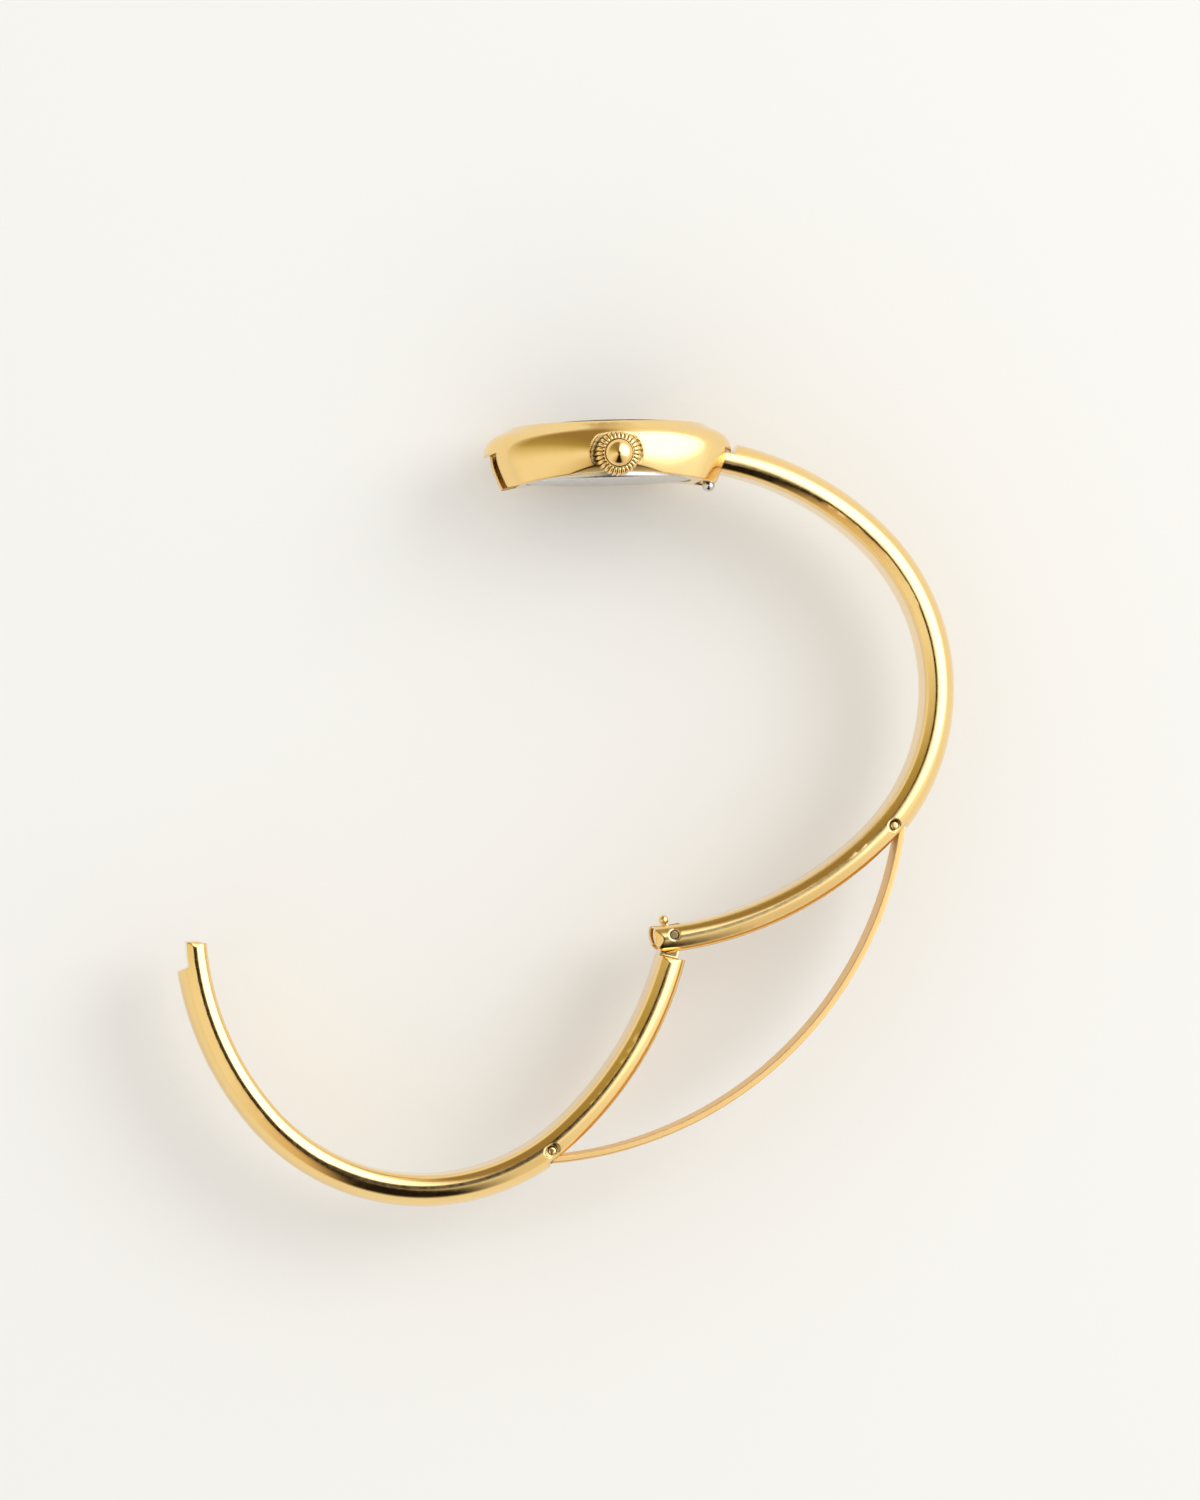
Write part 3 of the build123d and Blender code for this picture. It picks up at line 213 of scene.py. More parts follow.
def gold_plating(name, edge_round):
    """Gold plating over buffed steel: case, crown, arms, hands and markers.

    The eye gets a deep yellow mirror with slightly soft reflections, faint haze in patches where hands
    have been, hairlines from wear, a slow wave left by the buffing wheel, rounded bright edges, and
    painted shade: the colour darkens to brown in corners, recesses and hollows. The hairlines are really
    a few microns wide and are drawn a fifth of a millimetre wide, to show.
    """
    material, tree = start_material(name)
    place = add_node(tree, "ShaderNodeTexCoord").outputs["Object"]
    tone = add_node(tree, "ShaderNodeTexNoise", None, {
        "Vector": place, "Scale": 1 / (4 * millimetre), "Detail": 2})
    colour = add_node(tree, "ShaderNodeMix", {"data_type": "RGBA"}, {
        "Factor": tone.outputs["Fac"],
        first_colour: linear_colour("FADA98"),
        second_colour: linear_colour("F6D28C")})
    # Painted shade: where the occlusion test finds nearby walls, in corners, recesses and hollows, the gold
    # colour is darkened towards dark brown 4A2A08
    crevice_occlusion = add_node(tree, "ShaderNodeAmbientOcclusion", {"samples": 6}, {"Distance": 0.5 * millimetre})
    unshaded_share = add_node(tree, "ShaderNodeMapRange", None, {
        "Value": crevice_occlusion.outputs["AO"], "From Min": 0.3, "From Max": 0.75})
    colour_with_painted_shade = add_node(tree, "ShaderNodeMix", {"data_type": "RGBA"}, {
        "Factor": unshaded_share.outputs["Result"],
        first_colour: linear_colour("4A2A08"),
        second_colour: colour.outputs[mixed_colour]})
    haze = add_node(tree, "ShaderNodeTexNoise", None, {
        "Vector": place, "Scale": 1 / (0.6 * millimetre), "Detail": 5, "Roughness": 0.6})
    softness = add_node(tree, "ShaderNodeMapRange", None, {
        "Value": haze.outputs["Fac"], "From Min": 0.35, "From Max": 0.7, "To Min": 0.09, "To Max": 0.15})
    along = add_node(tree, "ShaderNodeMapping", None, {
        "Vector": place, "Rotation": (0, 0, math.radians(24)), "Scale": (1, 16, 5)})
    hairlines = add_node(tree, "ShaderNodeTexNoise", None, {
        "Vector": along.outputs["Vector"], "Scale": 1 / (3 * millimetre), "Detail": 3})
    wave = add_node(tree, "ShaderNodeTexNoise", None, {
        "Vector": place, "Scale": 1 / (3.5 * millimetre), "Detail": 1})
    rounded = add_node(tree, "ShaderNodeBevel", {"samples": 8}, {"Radius": edge_round})
    buffed = add_node(tree, "ShaderNodeBump", None, {
        "Height": wave.outputs["Fac"],
        "Distance": 0.004 * millimetre,
        "Normal": rounded.outputs["Normal"]})
    worn = add_node(tree, "ShaderNodeBump", None, {
        "Height": hairlines.outputs["Fac"],
        "Distance": 0.0012 * millimetre,
        "Normal": buffed.outputs["Normal"]})
    shader = add_node(tree, "ShaderNodeBsdfPrincipled", None, {
        "Base Color": colour_with_painted_shade.outputs[mixed_colour],
        "Metallic": 1,
        "Roughness": softness.outputs["Result"],
        "Normal": worn.outputs["Normal"]})
    add_node(tree, "ShaderNodeOutputMaterial", None, {"Surface": shader.outputs["BSDF"]})
    return material


def plated_strip():
    """Spring steel strip, rolled and then gold plated: the spring blade.

    The eye gets the same gold, a little duller than the buffed arms, with the fine grain that rolling
    leaves along the strip. The grain is drawn 0.12 mm wide, several times its real width.
    """
    material, tree = start_material("plated_spring_strip")
    place = add_node(tree, "ShaderNodeTexCoord").outputs["Object"]
    across = add_node(tree, "ShaderNodeMapping", None, {"Vector": place, "Scale": (1, 1, 20)})
    grain = add_node(tree, "ShaderNodeTexNoise", None, {
        "Vector": across.outputs["Vector"], "Scale": 1 / (2.4 * millimetre), "Detail": 4, "Roughness": 0.6})
    colour = add_node(tree, "ShaderNodeMix", {"data_type": "RGBA"}, {
        "Factor": grain.outputs["Fac"],
        first_colour: linear_colour("F8D08A"),
        second_colour: linear_colour("EFC47C")})
    softness = add_node(tree, "ShaderNodeMapRange", None, {
        "Value": grain.outputs["Fac"], "From Min": 0.3, "From Max": 0.7, "To Min": 0.34, "To Max": 0.46})
    rounded = add_node(tree, "ShaderNodeBevel", {"samples": 8}, {"Radius": 0.16 * millimetre})
    rolled = add_node(tree, "ShaderNodeBump", None, {
        "Height": grain.outputs["Fac"],
        "Distance": 0.0015 * millimetre,
        "Normal": rounded.outputs["Normal"]})
    shader = add_node(tree, "ShaderNodeBsdfPrincipled", None, {
        "Base Color": colour.outputs[mixed_colour],
        "Metallic": 1,
        "Roughness": softness.outputs["Result"],
        "Normal": rolled.outputs["Normal"]})
    add_node(tree, "ShaderNodeOutputMaterial", None, {"Surface": shader.outputs["BSDF"]})
    return material


def satin_back():
    """Stainless case back, brushed in one direction on a wheel.

    The eye gets an even silver grey whose reflections smear across the grain, with small patches
    that the wrist has rubbed brighter. The grain lines are drawn 0.1 mm apart, wider than real ones.
    """
    material, tree = start_material("satin_stainless_back")
    place = add_node(tree, "ShaderNodeTexCoord").outputs["Object"]
    along = add_node(tree, "ShaderNodeMapping", None, {"Vector": place, "Scale": (1, 1, 30)})
    grain = add_node(tree, "ShaderNodeTexNoise", None, {
        "Vector": along.outputs["Vector"], "Scale": 1 / (3 * millimetre), "Detail": 4, "Roughness": 0.65})
    rubbed = add_node(tree, "ShaderNodeTexNoise", None, {
        "Vector": place, "Scale": 1 / (5 * millimetre), "Detail": 2})
    colour = add_node(tree, "ShaderNodeMix", {"data_type": "RGBA"}, {
        "Factor": rubbed.outputs["Fac"],
        first_colour: linear_colour("DCDCDA"),
        second_colour: linear_colour("CFCFCD")})
    softness = add_node(tree, "ShaderNodeMapRange", None, {
        "Value": grain.outputs["Fac"], "From Min": 0.3, "From Max": 0.7, "To Min": 0.2, "To Max": 0.34})
    rounded = add_node(tree, "ShaderNodeBevel", {"samples": 4}, {"Radius": 0.06 * millimetre})
    brushed = add_node(tree, "ShaderNodeBump", None, {
        "Height": grain.outputs["Fac"],
        "Distance": 0.002 * millimetre,
        "Normal": rounded.outputs["Normal"]})
    shader = add_node(tree, "ShaderNodeBsdfPrincipled", None, {
        "Base Color": colour.outputs[mixed_colour],
        "Metallic": 1,
        "Roughness": softness.outputs["Result"],
        "Normal": brushed.outputs["Normal"]})
    add_node(tree, "ShaderNodeOutputMaterial", None, {"Surface": shader.outputs["BSDF"]})
    return material


def turned_steel():
    """Hard steel of the spring bars and their knobs, turned and polished.

    The eye gets a bright, slightly blue mirror with fine rings of haze left by turning.
    """
    material, tree = start_material("turned_bar_steel")
    place = add_node(tree, "ShaderNodeTexCoord").outputs["Object"]
    rings = add_node(tree, "ShaderNodeMapping", None, {"Vector": place, "Scale": (1, 1, 8)})
    haze = add_node(tree, "ShaderNodeTexNoise", None, {
        "Vector": rings.outputs["Vector"], "Scale": 1 / (1.2 * millimetre), "Detail": 4})
    colour = add_node(tree, "ShaderNodeMix", {"data_type": "RGBA"}, {
        "Factor": haze.outputs["Fac"],
        first_colour: linear_colour("DBDCDD"),
        second_colour: linear_colour("C9CACC")})
    softness = add_node(tree, "ShaderNodeMapRange", None, {
        "Value": haze.outputs["Fac"], "From Min": 0.3, "From Max": 0.7, "To Min": 0.06, "To Max": 0.14})
    turned = add_node(tree, "ShaderNodeBump", None, {
        "Height": haze.outputs["Fac"], "Distance": 0.001 * millimetre})
    shader = add_node(tree, "ShaderNodeBsdfPrincipled", None, {
        "Base Color": colour.outputs[mixed_colour],
        "Metallic": 1,
        "Roughness": softness.outputs["Result"],
        "Normal": turned.outputs["Normal"]})
    add_node(tree, "ShaderNodeOutputMaterial", None, {"Surface": shader.outputs["BSDF"]})
    return material


def spring_wire():
    """Drawn stainless wire and strip of the bars' springs and the battery strap, wound or bent cold.

    The eye gets a clean grey steel with a satin haze that drawing leaves.
    """
    material, tree = start_material("drawn_spring_wire")
    place = add_node(tree, "ShaderNodeTexCoord").outputs["Object"]
    haze = add_node(tree, "ShaderNodeTexNoise", None, {
        "Vector": place, "Scale": 1 / (0.2 * millimetre), "Detail": 4})
    colour = add_node(tree, "ShaderNodeMix", {"data_type": "RGBA"}, {
        "Factor": haze.outputs["Fac"],
        first_colour: linear_colour("B4B5B8"),
        second_colour: linear_colour("D2D3D5")})
    softness = add_node(tree, "ShaderNodeMapRange", None, {
        "Value": haze.outputs["Fac"], "From Min": 0.3, "From Max": 0.7, "To Min": 0.16, "To Max": 0.28})
    drawn = add_node(tree, "ShaderNodeBump", None, {
        "Height": haze.outputs["Fac"], "Distance": 0.001 * millimetre})
    shader = add_node(tree, "ShaderNodeBsdfPrincipled", None, {
        "Base Color": colour.outputs[mixed_colour],
        "Metallic": 1,
        "Roughness": softness.outputs["Result"],
        "Normal": drawn.outputs["Normal"]})
    add_node(tree, "ShaderNodeOutputMaterial", None, {"Surface": shader.outputs["BSDF"]})
    return material


def mineral_crystal():
    """Ground and polished mineral glass.

    The eye gets a clear oval with a crisp reflection and, close up, a trace of rubbing that softens it.
    """
    material, tree = start_material("polished_mineral_glass")
    place = add_node(tree, "ShaderNodeTexCoord").outputs["Object"]
    rubbing = add_node(tree, "ShaderNodeTexNoise", None, {
        "Vector": place, "Scale": 1 / (1.5 * millimetre), "Detail": 3})
    softness = add_node(tree, "ShaderNodeMapRange", None, {
        "Value": rubbing.outputs["Fac"], "From Min": 0.45, "From Max": 0.75, "To Min": 0.0, "To Max": 0.03})
    shader = add_node(tree, "ShaderNodeBsdfPrincipled", None, {
        "Base Color": linear_colour("F7FBFB"),
        "Roughness": softness.outputs["Result"],
        "IOR": 1.52,
        "Transmission Weight": 1})
    add_node(tree, "ShaderNodeOutputMaterial", None, {"Surface": shader.outputs["BSDF"]})
    return material


def nitrile_rubber():
    """Moulded nitrile rubber of the gaskets: near black and dull, with a fine dusty bloom."""
    material, tree = start_material("moulded_nitrile_rubber")
    place = add_node(tree, "ShaderNodeTexCoord").outputs["Object"]
    bloom = add_node(tree, "ShaderNodeTexNoise", None, {
        "Vector": place, "Scale": 1 / (0.15 * millimetre), "Detail": 4})
    colour = add_node(tree, "ShaderNodeMix", {"data_type": "RGBA"}, {
        "Factor": bloom.outputs["Fac"],
        first_colour: linear_colour("19191A"),
        second_colour: linear_colour("29292B")})
    softness = add_node(tree, "ShaderNodeMapRange", None, {
        "Value": bloom.outputs["Fac"], "To Min": 0.5, "To Max": 0.7})
    moulded = add_node(tree, "ShaderNodeBump", None, {
        "Height": bloom.outputs["Fac"], "Distance": 0.002 * millimetre})
    shader = add_node(tree, "ShaderNodeBsdfPrincipled", None, {
        "Base Color": colour.outputs[mixed_colour],
        "Roughness": softness.outputs["Result"],
        "IOR": 1.52,
        "Normal": moulded.outputs["Normal"]})
    add_node(tree, "ShaderNodeOutputMaterial", None, {"Surface": shader.outputs["BSDF"]})
    return material


def dial_lacquer():
    """Ivory lacquer on a brass dial plate, with a minute track printed in dark brown.

    The eye gets a warm off-white with a soft gloss and an oval ring of sixty fine ticks.
    """
    material, tree = start_material("ivory_dial_lacquer")
    place = add_node(tree, "ShaderNodeTexCoord").outputs["Object"]
    oval = add_node(tree, "ShaderNodeMapping", None, {
        "Vector": place, "Scale": (1 / dial_half_length, 0, 1 / dial_half_width)})
    reach = add_node(tree, "ShaderNodeVectorMath", {"operation": "LENGTH"}, {0: oval.outputs["Vector"]})
    sides = add_node(tree, "ShaderNodeSeparateXYZ", None, {"Vector": place})
    bearing = add_node(tree, "ShaderNodeMath", {"operation": "ARCTAN2"}, {
        0: sides.outputs["Z"], 1: sides.outputs["X"]})
    from_minute = add_node(tree, "ShaderNodeMath", {"operation": "PINGPONG"}, {
        0: bearing.outputs["Value"], 1: minute_step / 2})
    tick = add_node(tree, "ShaderNodeMath", {"operation": "LESS_THAN"}, {
        0: from_minute.outputs["Value"], 1: minute_tick_half_width})
    ring = add_node(tree, "ShaderNodeMath", {"operation": "COMPARE"}, {
        0: reach.outputs["Value"], 1: minute_track_middle, 2: minute_track_half_width})
    print_mask = add_node(tree, "ShaderNodeMath", {"operation": "MULTIPLY"}, {
        0: tick.outputs["Value"], 1: ring.outputs["Value"]})
    specks = add_node(tree, "ShaderNodeTexNoise", None, {
        "Vector": place, "Scale": 1 / (0.2 * millimetre), "Detail": 3})
    ivory = add_node(tree, "ShaderNodeMix", {"data_type": "RGBA"}, {
        "Factor": specks.outputs["Fac"],
        first_colour: linear_colour("F3EEE0"),
        second_colour: linear_colour("EEE8D8")})
    colour = add_node(tree, "ShaderNodeMix", {"data_type": "RGBA"}, {
        "Factor": print_mask.outputs["Value"],
        first_colour: ivory.outputs[mixed_colour],
        second_colour: linear_colour("3A2E22")})
    flow = add_node(tree, "ShaderNodeBump", None, {
        "Height": specks.outputs["Fac"], "Distance": 0.0006 * millimetre})
    shader = add_node(tree, "ShaderNodeBsdfPrincipled", None, {
        "Base Color": colour.outputs[mixed_colour],
        "Roughness": 0.32,
        "Coat Weight": 0.4,
        "Coat Roughness": 0.08,
        "Normal": flow.outputs["Normal"]})
    add_node(tree, "ShaderNodeOutputMaterial", None, {"Surface": shader.outputs["BSDF"]})
    return material


def rolled_brass():
    """Rolled brass of the plate, bridge and wheels, stamped and lightly brushed.

    The eye gets a muted yellow metal with fine straight grain, drawn 0.08 mm wide to show.
    """
    material, tree = start_material("rolled_movement_brass")
    place = add_node(tree, "ShaderNodeTexCoord").outputs["Object"]
    along = add_node(tree, "ShaderNodeMapping", None, {"Vector": place, "Scale": (1, 1, 16)})
    grain = add_node(tree, "ShaderNodeTexNoise", None, {
        "Vector": along.outputs["Vector"], "Scale": 1 / (1.3 * millimetre), "Detail": 4})
    colour = add_node(tree, "ShaderNodeMix", {"data_type": "RGBA"}, {
        "Factor": grain.outputs["Fac"],
        first_colour: linear_colour("E0C688"),
        second_colour: linear_colour("CDB272")})
    softness = add_node(tree, "ShaderNodeMapRange", None, {
        "Value": grain.outputs["Fac"], "To Min": 0.2, "To Max": 0.4})
    shader = add_node(tree, "ShaderNodeBsdfPrincipled", None, {
        "Base Color": colour.outputs[mixed_colour], "Metallic": 1, "Roughness": softness.outputs["Result"]})
    add_node(tree, "ShaderNodeOutputMaterial", None, {"Surface": shader.outputs["BSDF"]})
    return material


def ground_iron():
    """Soft iron and steel of the motor, the screws and the strap, ground and left bare.

    The eye gets a grey metal with a dull, slightly mottled shine.
    """
    material, tree = start_material("ground_movement_steel")
    place = add_node(tree, "ShaderNodeTexCoord").outputs["Object"]
    mottle = add_node(tree, "ShaderNodeTexNoise", None, {
        "Vector": place, "Scale": 1 / (0.35 * millimetre), "Detail": 5})
    colour = add_node(tree, "ShaderNodeMix", {"data_type": "RGBA"}, {
        "Factor": mottle.outputs["Fac"],
        first_colour: linear_colour("B4B6B9"),
        second_colour: linear_colour("97999D")})
    softness = add_node(tree, "ShaderNodeMapRange", None, {
        "Value": mottle.outputs["Fac"], "To Min": 0.25, "To Max": 0.45})
    shader = add_node(tree, "ShaderNodeBsdfPrincipled", None, {
        "Base Color": colour.outputs[mixed_colour], "Metallic": 1, "Roughness": softness.outputs["Result"]})
    add_node(tree, "ShaderNodeOutputMaterial", None, {"Surface": shader.outputs["BSDF"]})
    return material


def copper_winding():
    """Enamelled copper wire of the motor's coil.

    The eye gets red brown bands of wire under clear enamel. Real wire is 0.02 mm thick, and the bands
    are drawn 0.63 mm apart, to show. A band texture of scale 1 repeats every tenth of pi.
    """
    material, tree = start_material("enamelled_copper_winding")
    place = add_node(tree, "ShaderNodeTexCoord").outputs["Object"]
    turns = add_node(tree, "ShaderNodeTexWave", {"bands_direction": "Z"}, {
        "Vector": place, "Scale": math.pi / 10 / (0.6283 * millimetre), "Distortion": 0.6})
    colour = add_node(tree, "ShaderNodeMix", {"data_type": "RGBA"}, {
        "Factor": turns.outputs["Fac"],
        first_colour: linear_colour("7E3F20"),
        second_colour: linear_colour("C4713F")})
    wound = add_node(tree, "ShaderNodeBump", None, {
        "Height": turns.outputs["Fac"], "Distance": 0.03 * millimetre})
    shader = add_node(tree, "ShaderNodeBsdfPrincipled", None, {
        "Base Color": colour.outputs[mixed_colour],
        "Metallic": 0.8,
        "Roughness": 0.3,
        "Coat Weight": 0.5,
        "Normal": wound.outputs["Normal"]})
    add_node(tree, "ShaderNodeOutputMaterial", None, {"Surface": shader.outputs["BSDF"]})
    return material


def nickel_can():
    """The cell's nickel plated can, drawn and tumbled: pale grey metal, evenly rubbed."""
    material, tree = start_material("nickel_plated_can")
    place = add_node(tree, "ShaderNodeTexCoord").outputs["Object"]
    rubs = add_node(tree, "ShaderNodeTexNoise", None, {
        "Vector": place, "Scale": 1 / (0.3 * millimetre), "Detail": 4})
    colour = add_node(tree, "ShaderNodeMix", {"data_type": "RGBA"}, {
        "Factor": rubs.outputs["Fac"],
        first_colour: linear_colour("D0CFCA"),
        second_colour: linear_colour("BDBCB7")})
    softness = add_node(tree, "ShaderNodeMapRange", None, {
        "Value": rubs.outputs["Fac"], "To Min": 0.18, "To Max": 0.34})
    shader = add_node(tree, "ShaderNodeBsdfPrincipled", None, {
        "Base Color": colour.outputs[mixed_colour], "Metallic": 1, "Roughness": softness.outputs["Result"]})
    add_node(tree, "ShaderNodeOutputMaterial", None, {"Surface": shader.outputs["BSDF"]})
    return material


def moulded_acetal():
    """Acetal of the movement ring, injection moulded: milky white and waxy, with a little light in it."""
    material, tree = start_material("moulded_acetal")
    place = add_node(tree, "ShaderNodeTexCoord").outputs["Object"]
    flow = add_node(tree, "ShaderNodeTexNoise", None, {
        "Vector": place, "Scale": 1 / (0.8 * millimetre), "Detail": 3})
    colour = add_node(tree, "ShaderNodeMix", {"data_type": "RGBA"}, {
        "Factor": flow.outputs["Fac"],
        first_colour: linear_colour("EBE9E2"),
        second_colour: linear_colour("DFDDD4")})
    shader = add_node(tree, "ShaderNodeBsdfPrincipled", None, {
        "Base Color": colour.outputs[mixed_colour],
        "Roughness": 0.4,
        "IOR": 1.48,
        "Subsurface Weight": 0.1,
        "Subsurface Scale": 0.3 * millimetre})
    add_node(tree, "ShaderNodeOutputMaterial", None, {"Surface": shader.outputs["BSDF"]})
    return material


def solder_mask():
    """Glass epoxy board under green solder mask: dark green and glossy over a faint weave."""
    material, tree = start_material("solder_masked_board")
    place = add_node(tree, "ShaderNodeTexCoord").outputs["Object"]
    weave = add_node(tree, "ShaderNodeTexChecker", None, {
        "Vector": place, "Scale": 1 / (0.2 * millimetre),
        "Color1": linear_colour("1F5E3C"), "Color2": linear_colour("1A5033")})
    shader = add_node(tree, "ShaderNodeBsdfPrincipled", None, {
        "Base Color": weave.outputs["Color"],
        "Roughness": 0.3,
        "IOR": 1.5,
        "Coat Weight": 0.3})
    add_node(tree, "ShaderNodeOutputMaterial", None, {"Surface": shader.outputs["BSDF"]})
    return material


def dress_nodes():
    """Gives every node of the frame the finish that its material slot names."""
    fine_edged = gold_plating("fine_edged_gold_plating", 0.05 * millimetre)
    finishes = {
        "polished_gold": gold_plating("buffed_gold_plating", 0.3 * millimetre),
        "gold_spring_steel": plated_strip(),
        "steel_back": satin_back(),
        "bar_steel": turned_steel(),
        "spring_wire": spring_wire(),
        "crystal_glass": mineral_crystal(),
        "gasket_rubber": nitrile_rubber(),
        "dial_lacquer": dial_lacquer(),
        "movement_brass": rolled_brass(),
        "movement_steel": ground_iron(),
        "coil_copper": copper_winding(),
        "cell_steel": nickel_can(),
        "holder_plastic": moulded_acetal(),
        "board_laminate": solder_mask(),
    }
    for subpart in frame["record"]["subparts"]:
        node = frame["nodes"][subpart["node"]]
        finish = finishes[subpart["material_slot"]]
        if subpart["node"] in fine_edged_nodes:
            finish = fine_edged
        node.data.materials.clear()
        node.data.materials.append(finish)


def turned_core():
    """The crown's core, lip and dome, turned up from one circle along the outline's places and radii."""
    outline = [(place * millimetre, radius * millimetre) for place, radius in core_outline]
    for step in range(1, dome_steps):
        turn = math.pi / 2 * step / dome_steps
        outline.append((
            (dome_base + dome_rise * math.sin(turn)) * millimetre,
            dome_base_radius * math.cos(turn) * millimetre))
    place, radius = outline[0]
    bpy.ops.mesh.primitive_circle_add(
        vertices=core_sides, radius=radius, fill_type="NGON", location=(0, crown_axis_height, place))
    core = bpy.context.object
    core.name = "crown_core_and_dome"
    bpy.ops.object.transform_apply(location=True)
    bpy.ops.object.mode_set(mode="EDIT")
    for next_place, next_radius in outline[1:]:
        bpy.ops.mesh.extrude_region_move(TRANSFORM_OT_translate={"value": (0, 0, next_place - place)})
        share = next_radius / radius
        bpy.ops.transform.resize(
            value=(share, share, 1), center_override=(0, crown_axis_height, next_place))
        place, radius = next_place, next_radius
    bpy.ops.mesh.select_all(action="SELECT")
    bpy.ops.mesh.normals_make_consistent(inside=False)
    bpy.ops.object.mode_set(mode="OBJECT")
    bpy.ops.object.shade_smooth_by_angle(angle=core_smooth_angle)
    return core


def bent_petal():
    """One petal of the crown: a round bar along the skirt that bends over the front towards the dome."""
    bpy.ops.mesh.primitive_circle_add(
        vertices=petal_sides, radius=petal_radius, fill_type="NGON", location=(petal_reach, 0, petal_rear))
    petal = bpy.context.object
    bpy.ops.object.transform_apply(location=True)
    bpy.ops.object.mode_set(mode="EDIT")
    bpy.ops.mesh.extrude_region_move(
        TRANSFORM_OT_translate={"value": (0, 0, petal_bend_start - petal_rear)})
    bpy.ops.mesh.spin(
        steps=petal_bend_steps, angle=math.pi / 2, axis=(0, 1, 0),
        center=(petal_reach - petal_bend_radius, 0, petal_bend_start))
    bpy.ops.mesh.extrude_region_move(TRANSFORM_OT_translate={"value": (-petal_tip_length, 0, 0)})
    bpy.ops.transform.resize(value=(1, petal_tip_share, petal_tip_share))
    bpy.ops.mesh.select_all(action="SELECT")
    bpy.ops.mesh.remove_doubles(threshold=merge_distance)
    bpy.ops.mesh.normals_make_consistent(inside=False)
    bpy.ops.object.mode_set(mode="OBJECT")
    return petal


def dress_crown():
    """The crown as it shows: a turned core with its dome, and a ring of petals round it."""
    core = turned_core()
    bpy.ops.object.select_all(action="DESELECT")
    first = bent_petal()
    petals = [first]
    for number in range(1, petal_count):
        petal = first.copy()
        petal.data = first.data.copy()
        bpy.context.collection.objects.link(petal)
        petal.rotation_euler.z = 2 * math.pi * number / petal_count
        petals.append(petal)
    bpy.ops.object.select_all(action="DESELECT")
    for petal in petals:
        petal.location.y = crown_axis_height
        petal.select_set(True)
    bpy.context.view_layer.objects.active = first
    bpy.ops.object.transform_apply(location=True, rotation=True)
    bpy.ops.object.join()
    first.name = "crown_petals"
    bpy.ops.object.shade_smooth_by_angle(angle=petal_smooth_angle)
    bpy.ops.object.select_all(action="DESELECT")
    for piece in (core, first):
        piece.data.materials.append(frame["nodes"]["crown"].data.materials[0])
        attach(piece, "crown_slider")
        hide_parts("crown")


def wind_coils():
    """The coil springs inside the spring bars, each wound up from a ring of wire in its sleeve's place."""
    for name, sleeve, slide, turns, travel in coil_springs:
        low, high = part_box(sleeve)
        length = high[2] - low[2]
        winding_radius = (high[0] - low[0]) / 2 - coil_wire_radius
        foot = ((low[0] + high[0]) / 2, (low[1] + high[1]) / 2, low[2])
        bpy.ops.mesh.primitive_circle_add(
            vertices=coil_wire_sides, radius=coil_wire_radius,
            location=(winding_radius, 0, coil_wire_radius), rotation=(math.pi / 2, 0, 0))
        coil = bpy.context.object
        coil.name = name
        bpy.ops.object.transform_apply(location=True, rotation=True)
        winding = coil.modifiers.new("winding", "SCREW")
        winding.axis = "Z"
        winding.iterations = turns
        winding.screw_offset = (length - 2 * coil_wire_radius) / turns
        winding.steps = coil_turn_steps
        winding.render_steps = coil_turn_steps
        bpy.ops.object.modifier_apply(modifier="winding")
        bpy.ops.object.mode_set(mode="EDIT")
        bpy.ops.mesh.select_all(action="SELECT")
        bpy.ops.mesh.fill_holes(sides=0)
        bpy.ops.mesh.select_all(action="SELECT")
        bpy.ops.mesh.normals_make_consistent(inside=False)
        bpy.ops.object.mode_set(mode="OBJECT")
        coil.location = foot
        bpy.ops.object.transform_apply(location=True)
        bpy.ops.object.shade_smooth_by_angle(angle=coil_smooth_angle)
        coil.data.materials.append(frame["nodes"][sleeve].data.materials[0])
        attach(coil, "upper_arm")
        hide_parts(sleeve)
        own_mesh(coil)
        bpy.ops.object.select_all(action="DESELECT")


def paper_floor():
    """The sheet of warm white paper under the watch, which keeps the object's soft shadow."""
    bpy.ops.mesh.primitive_plane_add(size=floor_size, location=(0, 0, floor_height))
    floor = bpy.context.object
    floor.name = "paper_floor"
    material, tree = start_material("warm_white_paper")
    shader = add_node(tree, "ShaderNodeBsdfPrincipled", None, {
        "Base Color": linear_colour("EEEDEA"), "Roughness": 0.9, "Specular IOR Level": 0.1})
    add_node(tree, "ShaderNodeOutputMaterial", None, {"Surface": shader.outputs["BSDF"]})
    floor.data.materials.append(material)


def softbox_direction():
    """Direction from the watch to the softbox."""
    lean, bearing = math.radians(softbox_lean), math.radians(softbox_bearing)
    return Vector((math.sin(lean) * math.cos(bearing), math.sin(lean) * math.sin(bearing), math.cos(lean)))


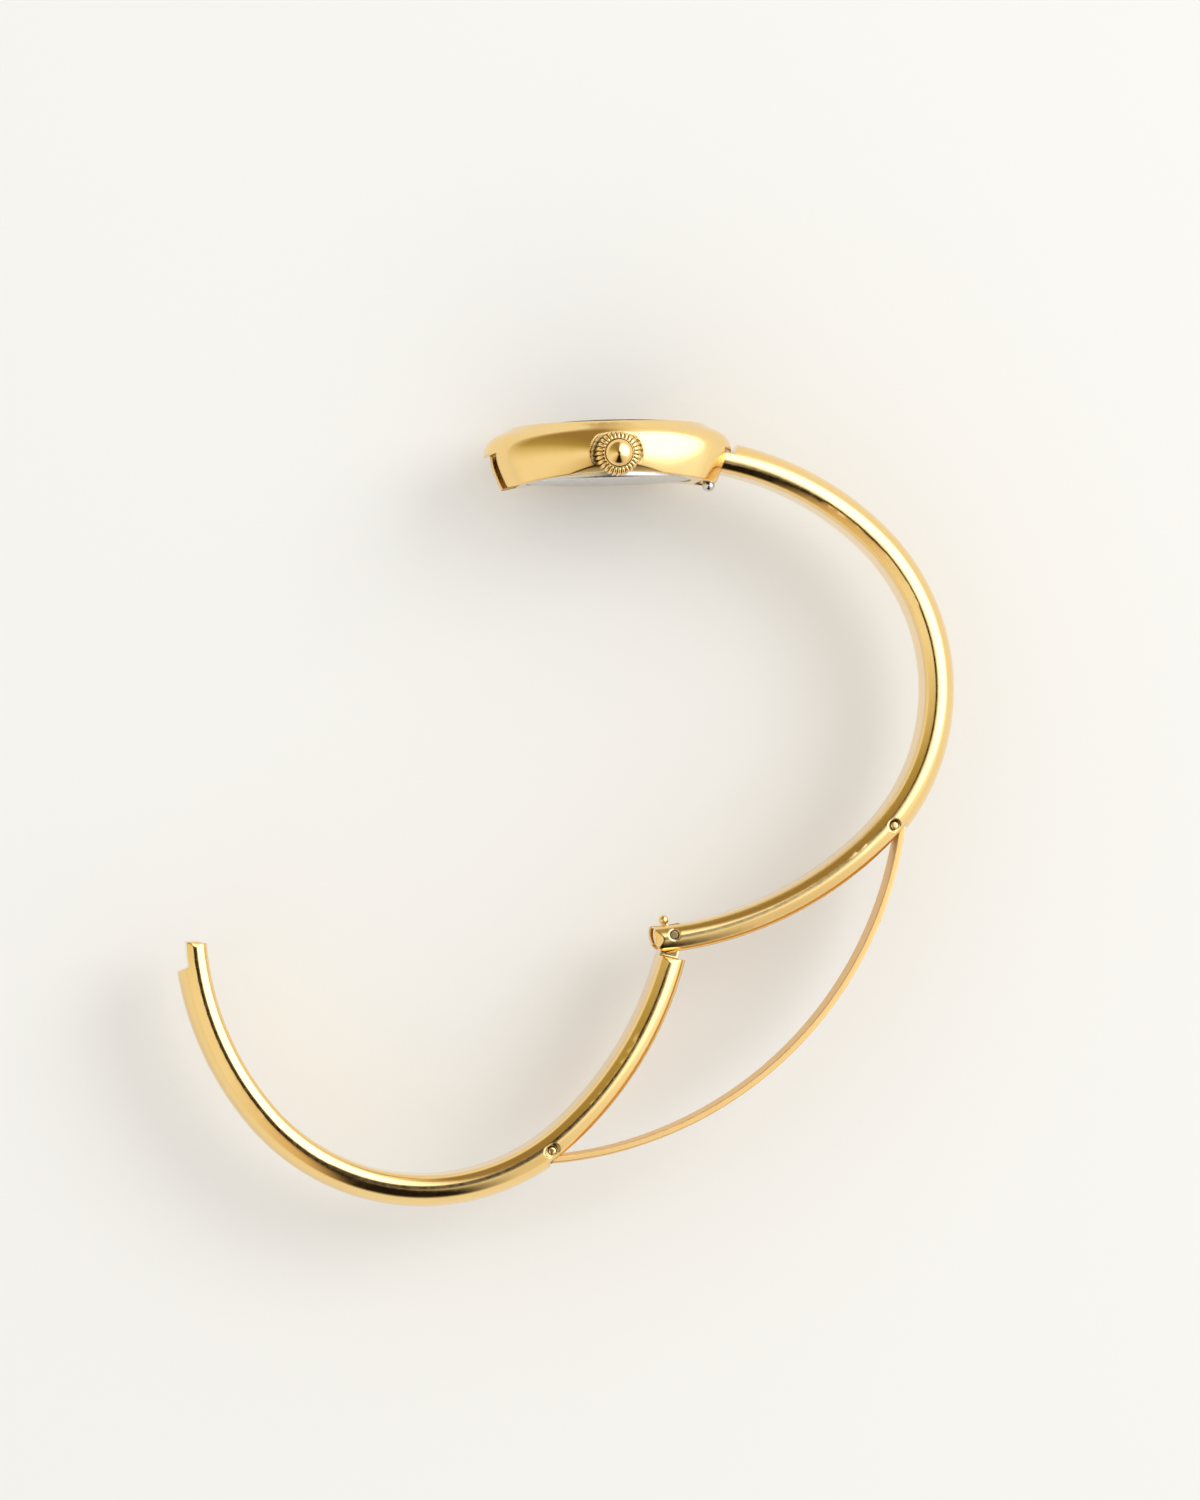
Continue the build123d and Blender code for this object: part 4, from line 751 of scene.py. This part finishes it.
def studio_world():
    """An even pale room for matt surfaces, and the room round the table for metal and glass."""
    world = bpy.data.worlds.new("pale_room")
    bpy.context.scene.world = world
    world.use_nodes = True
    tree = world.node_tree
    tree.nodes.clear()
    direction = add_node(tree, "ShaderNodeTexCoord").outputs["Generated"]
    sides = add_node(tree, "ShaderNodeSeparateXYZ", None, {"Vector": direction})
    bearing = add_node(tree, "ShaderNodeMath", {"operation": "ARCTAN2"}, {
        0: sides.outputs["Y"], 1: sides.outputs["X"]})
    round_share = add_node(tree, "ShaderNodeMapRange", None, {
        "Value": bearing.outputs["Value"], "From Min": -math.pi, "From Max": math.pi})
    ring = add_node(tree, "ShaderNodeValToRGB", None, {"Fac": round_share.outputs["Result"]})
    stops = ring.color_ramp.elements
    while len(stops) < len(room_ring):
        stops.new(0.5)
    for stop, (share, colour) in zip(stops, room_ring):
        stop.position = share
        stop.color = linear_colour(colour)
    height = add_node(tree, "ShaderNodeMapRange", {"interpolation_type": "SMOOTHSTEP"}, {
        "Value": sides.outputs["Z"], "From Min": 0, "From Max": horizon_height})
    low = add_node(tree, "ShaderNodeMix", {"data_type": "RGBA"}, {
        "Factor": haze_share,
        first_colour: ring.outputs["Color"],
        second_colour: linear_colour("DAD4C8")})
    faded = add_node(tree, "ShaderNodeMix", {"data_type": "RGBA"}, {
        "Factor": height.outputs["Result"],
        first_colour: low.outputs[mixed_colour],
        second_colour: ring.outputs["Color"]})
    overhead = add_node(tree, "ShaderNodeMapRange", {"interpolation_type": "SMOOTHSTEP"}, {
        "Value": sides.outputs["Z"], "From Min": overhead_dark_rim, "From Max": overhead_dark_core})
    seen = add_node(tree, "ShaderNodeMix", {"data_type": "RGBA"}, {
        "Factor": overhead.outputs["Result"],
        first_colour: faded.outputs[mixed_colour],
        second_colour: linear_colour("1A1108")})
    facing_box = add_node(tree, "ShaderNodeVectorMath", {"operation": "DOT_PRODUCT"}, {
        0: direction, 1: softbox_direction()})
    box_share = add_node(tree, "ShaderNodeMapRange", {"interpolation_type": "SMOOTHERSTEP"}, {
        "Value": facing_box.outputs["Value"], "From Min": glow_outer, "From Max": glow_inner})
    boxed = add_node(tree, "ShaderNodeMix", {"data_type": "RGBA"}, {
        "Factor": box_share.outputs["Result"],
        first_colour: seen.outputs[mixed_colour],
        second_colour: linear_colour("DFEAFF")})
    glow = add_node(tree, "ShaderNodeMath", {"operation": "MULTIPLY_ADD"}, {
        0: box_share.outputs["Result"], 1: glow_strength, 2: room_strength})
    room = add_node(tree, "ShaderNodeBackground", None, {
        "Color": boxed.outputs[mixed_colour], "Strength": glow.outputs["Value"]})
    even = add_node(tree, "ShaderNodeBackground", None, {
        "Color": linear_colour("FFFEFC"), "Strength": even_strength})
    paper = add_node(tree, "ShaderNodeBackground", None, {"Color": linear_colour("F6F3EE"), "Strength": 1})
    light_path = add_node(tree, "ShaderNodeLightPath")
    mirrored = add_node(tree, "ShaderNodeMath", {"operation": "MAXIMUM"}, {
        0: light_path.outputs["Is Glossy Ray"], 1: light_path.outputs["Is Transmission Ray"]})
    lit = add_node(tree, "ShaderNodeMixShader", None, {
        0: mirrored.outputs["Value"], 1: even.outputs["Background"], 2: room.outputs["Background"]})
    shown = add_node(tree, "ShaderNodeMixShader", None, {
        0: light_path.outputs["Is Camera Ray"], 1: lit.outputs["Shader"], 2: paper.outputs["Background"]})
    add_node(tree, "ShaderNodeOutputWorld", None, {"Surface": shown.outputs["Shader"]})


def add_softbox():
    """The large softbox at the upper right, which gives the floor its shadow; the room holds its glow."""
    away = softbox_direction()
    light = bpy.data.lights.new("softbox", "AREA")
    light.shape = "DISK"
    light.size = softbox_width
    light.energy = softbox_power
    light.color = linear_colour("FFFDFA")[:3]
    box = bpy.data.objects.new("softbox", light)
    bpy.context.collection.objects.link(box)
    box.location = camera_target + away * softbox_distance
    box.rotation_euler = away.to_track_quat("Z", "Y").to_euler()
    box.visible_glossy = False


def add_camera():
    """The camera at the photograph's place."""
    data = bpy.data.cameras.new("studio_camera")
    data.lens = camera_lens
    data.sensor_fit = "HORIZONTAL"
    data.sensor_width = sensor_width
    data.clip_start = clip_near
    data.clip_end = clip_far
    camera = bpy.data.objects.new("studio_camera", data)
    bpy.context.collection.objects.link(camera)
    forward = (camera_target - camera_place).normalized()
    right = forward.cross(camera_top).normalized()
    up = right.cross(forward)
    turned = Matrix((right, up, -forward)).transposed().to_4x4()
    camera.matrix_world = Matrix.Translation(camera_place) @ turned
    bpy.context.scene.camera = camera


dress_nodes()
dress_crown()
wind_coils()
paper_floor()
studio_world()
add_softbox()
add_camera()
bpy.context.scene.view_settings.view_transform = "Standard"
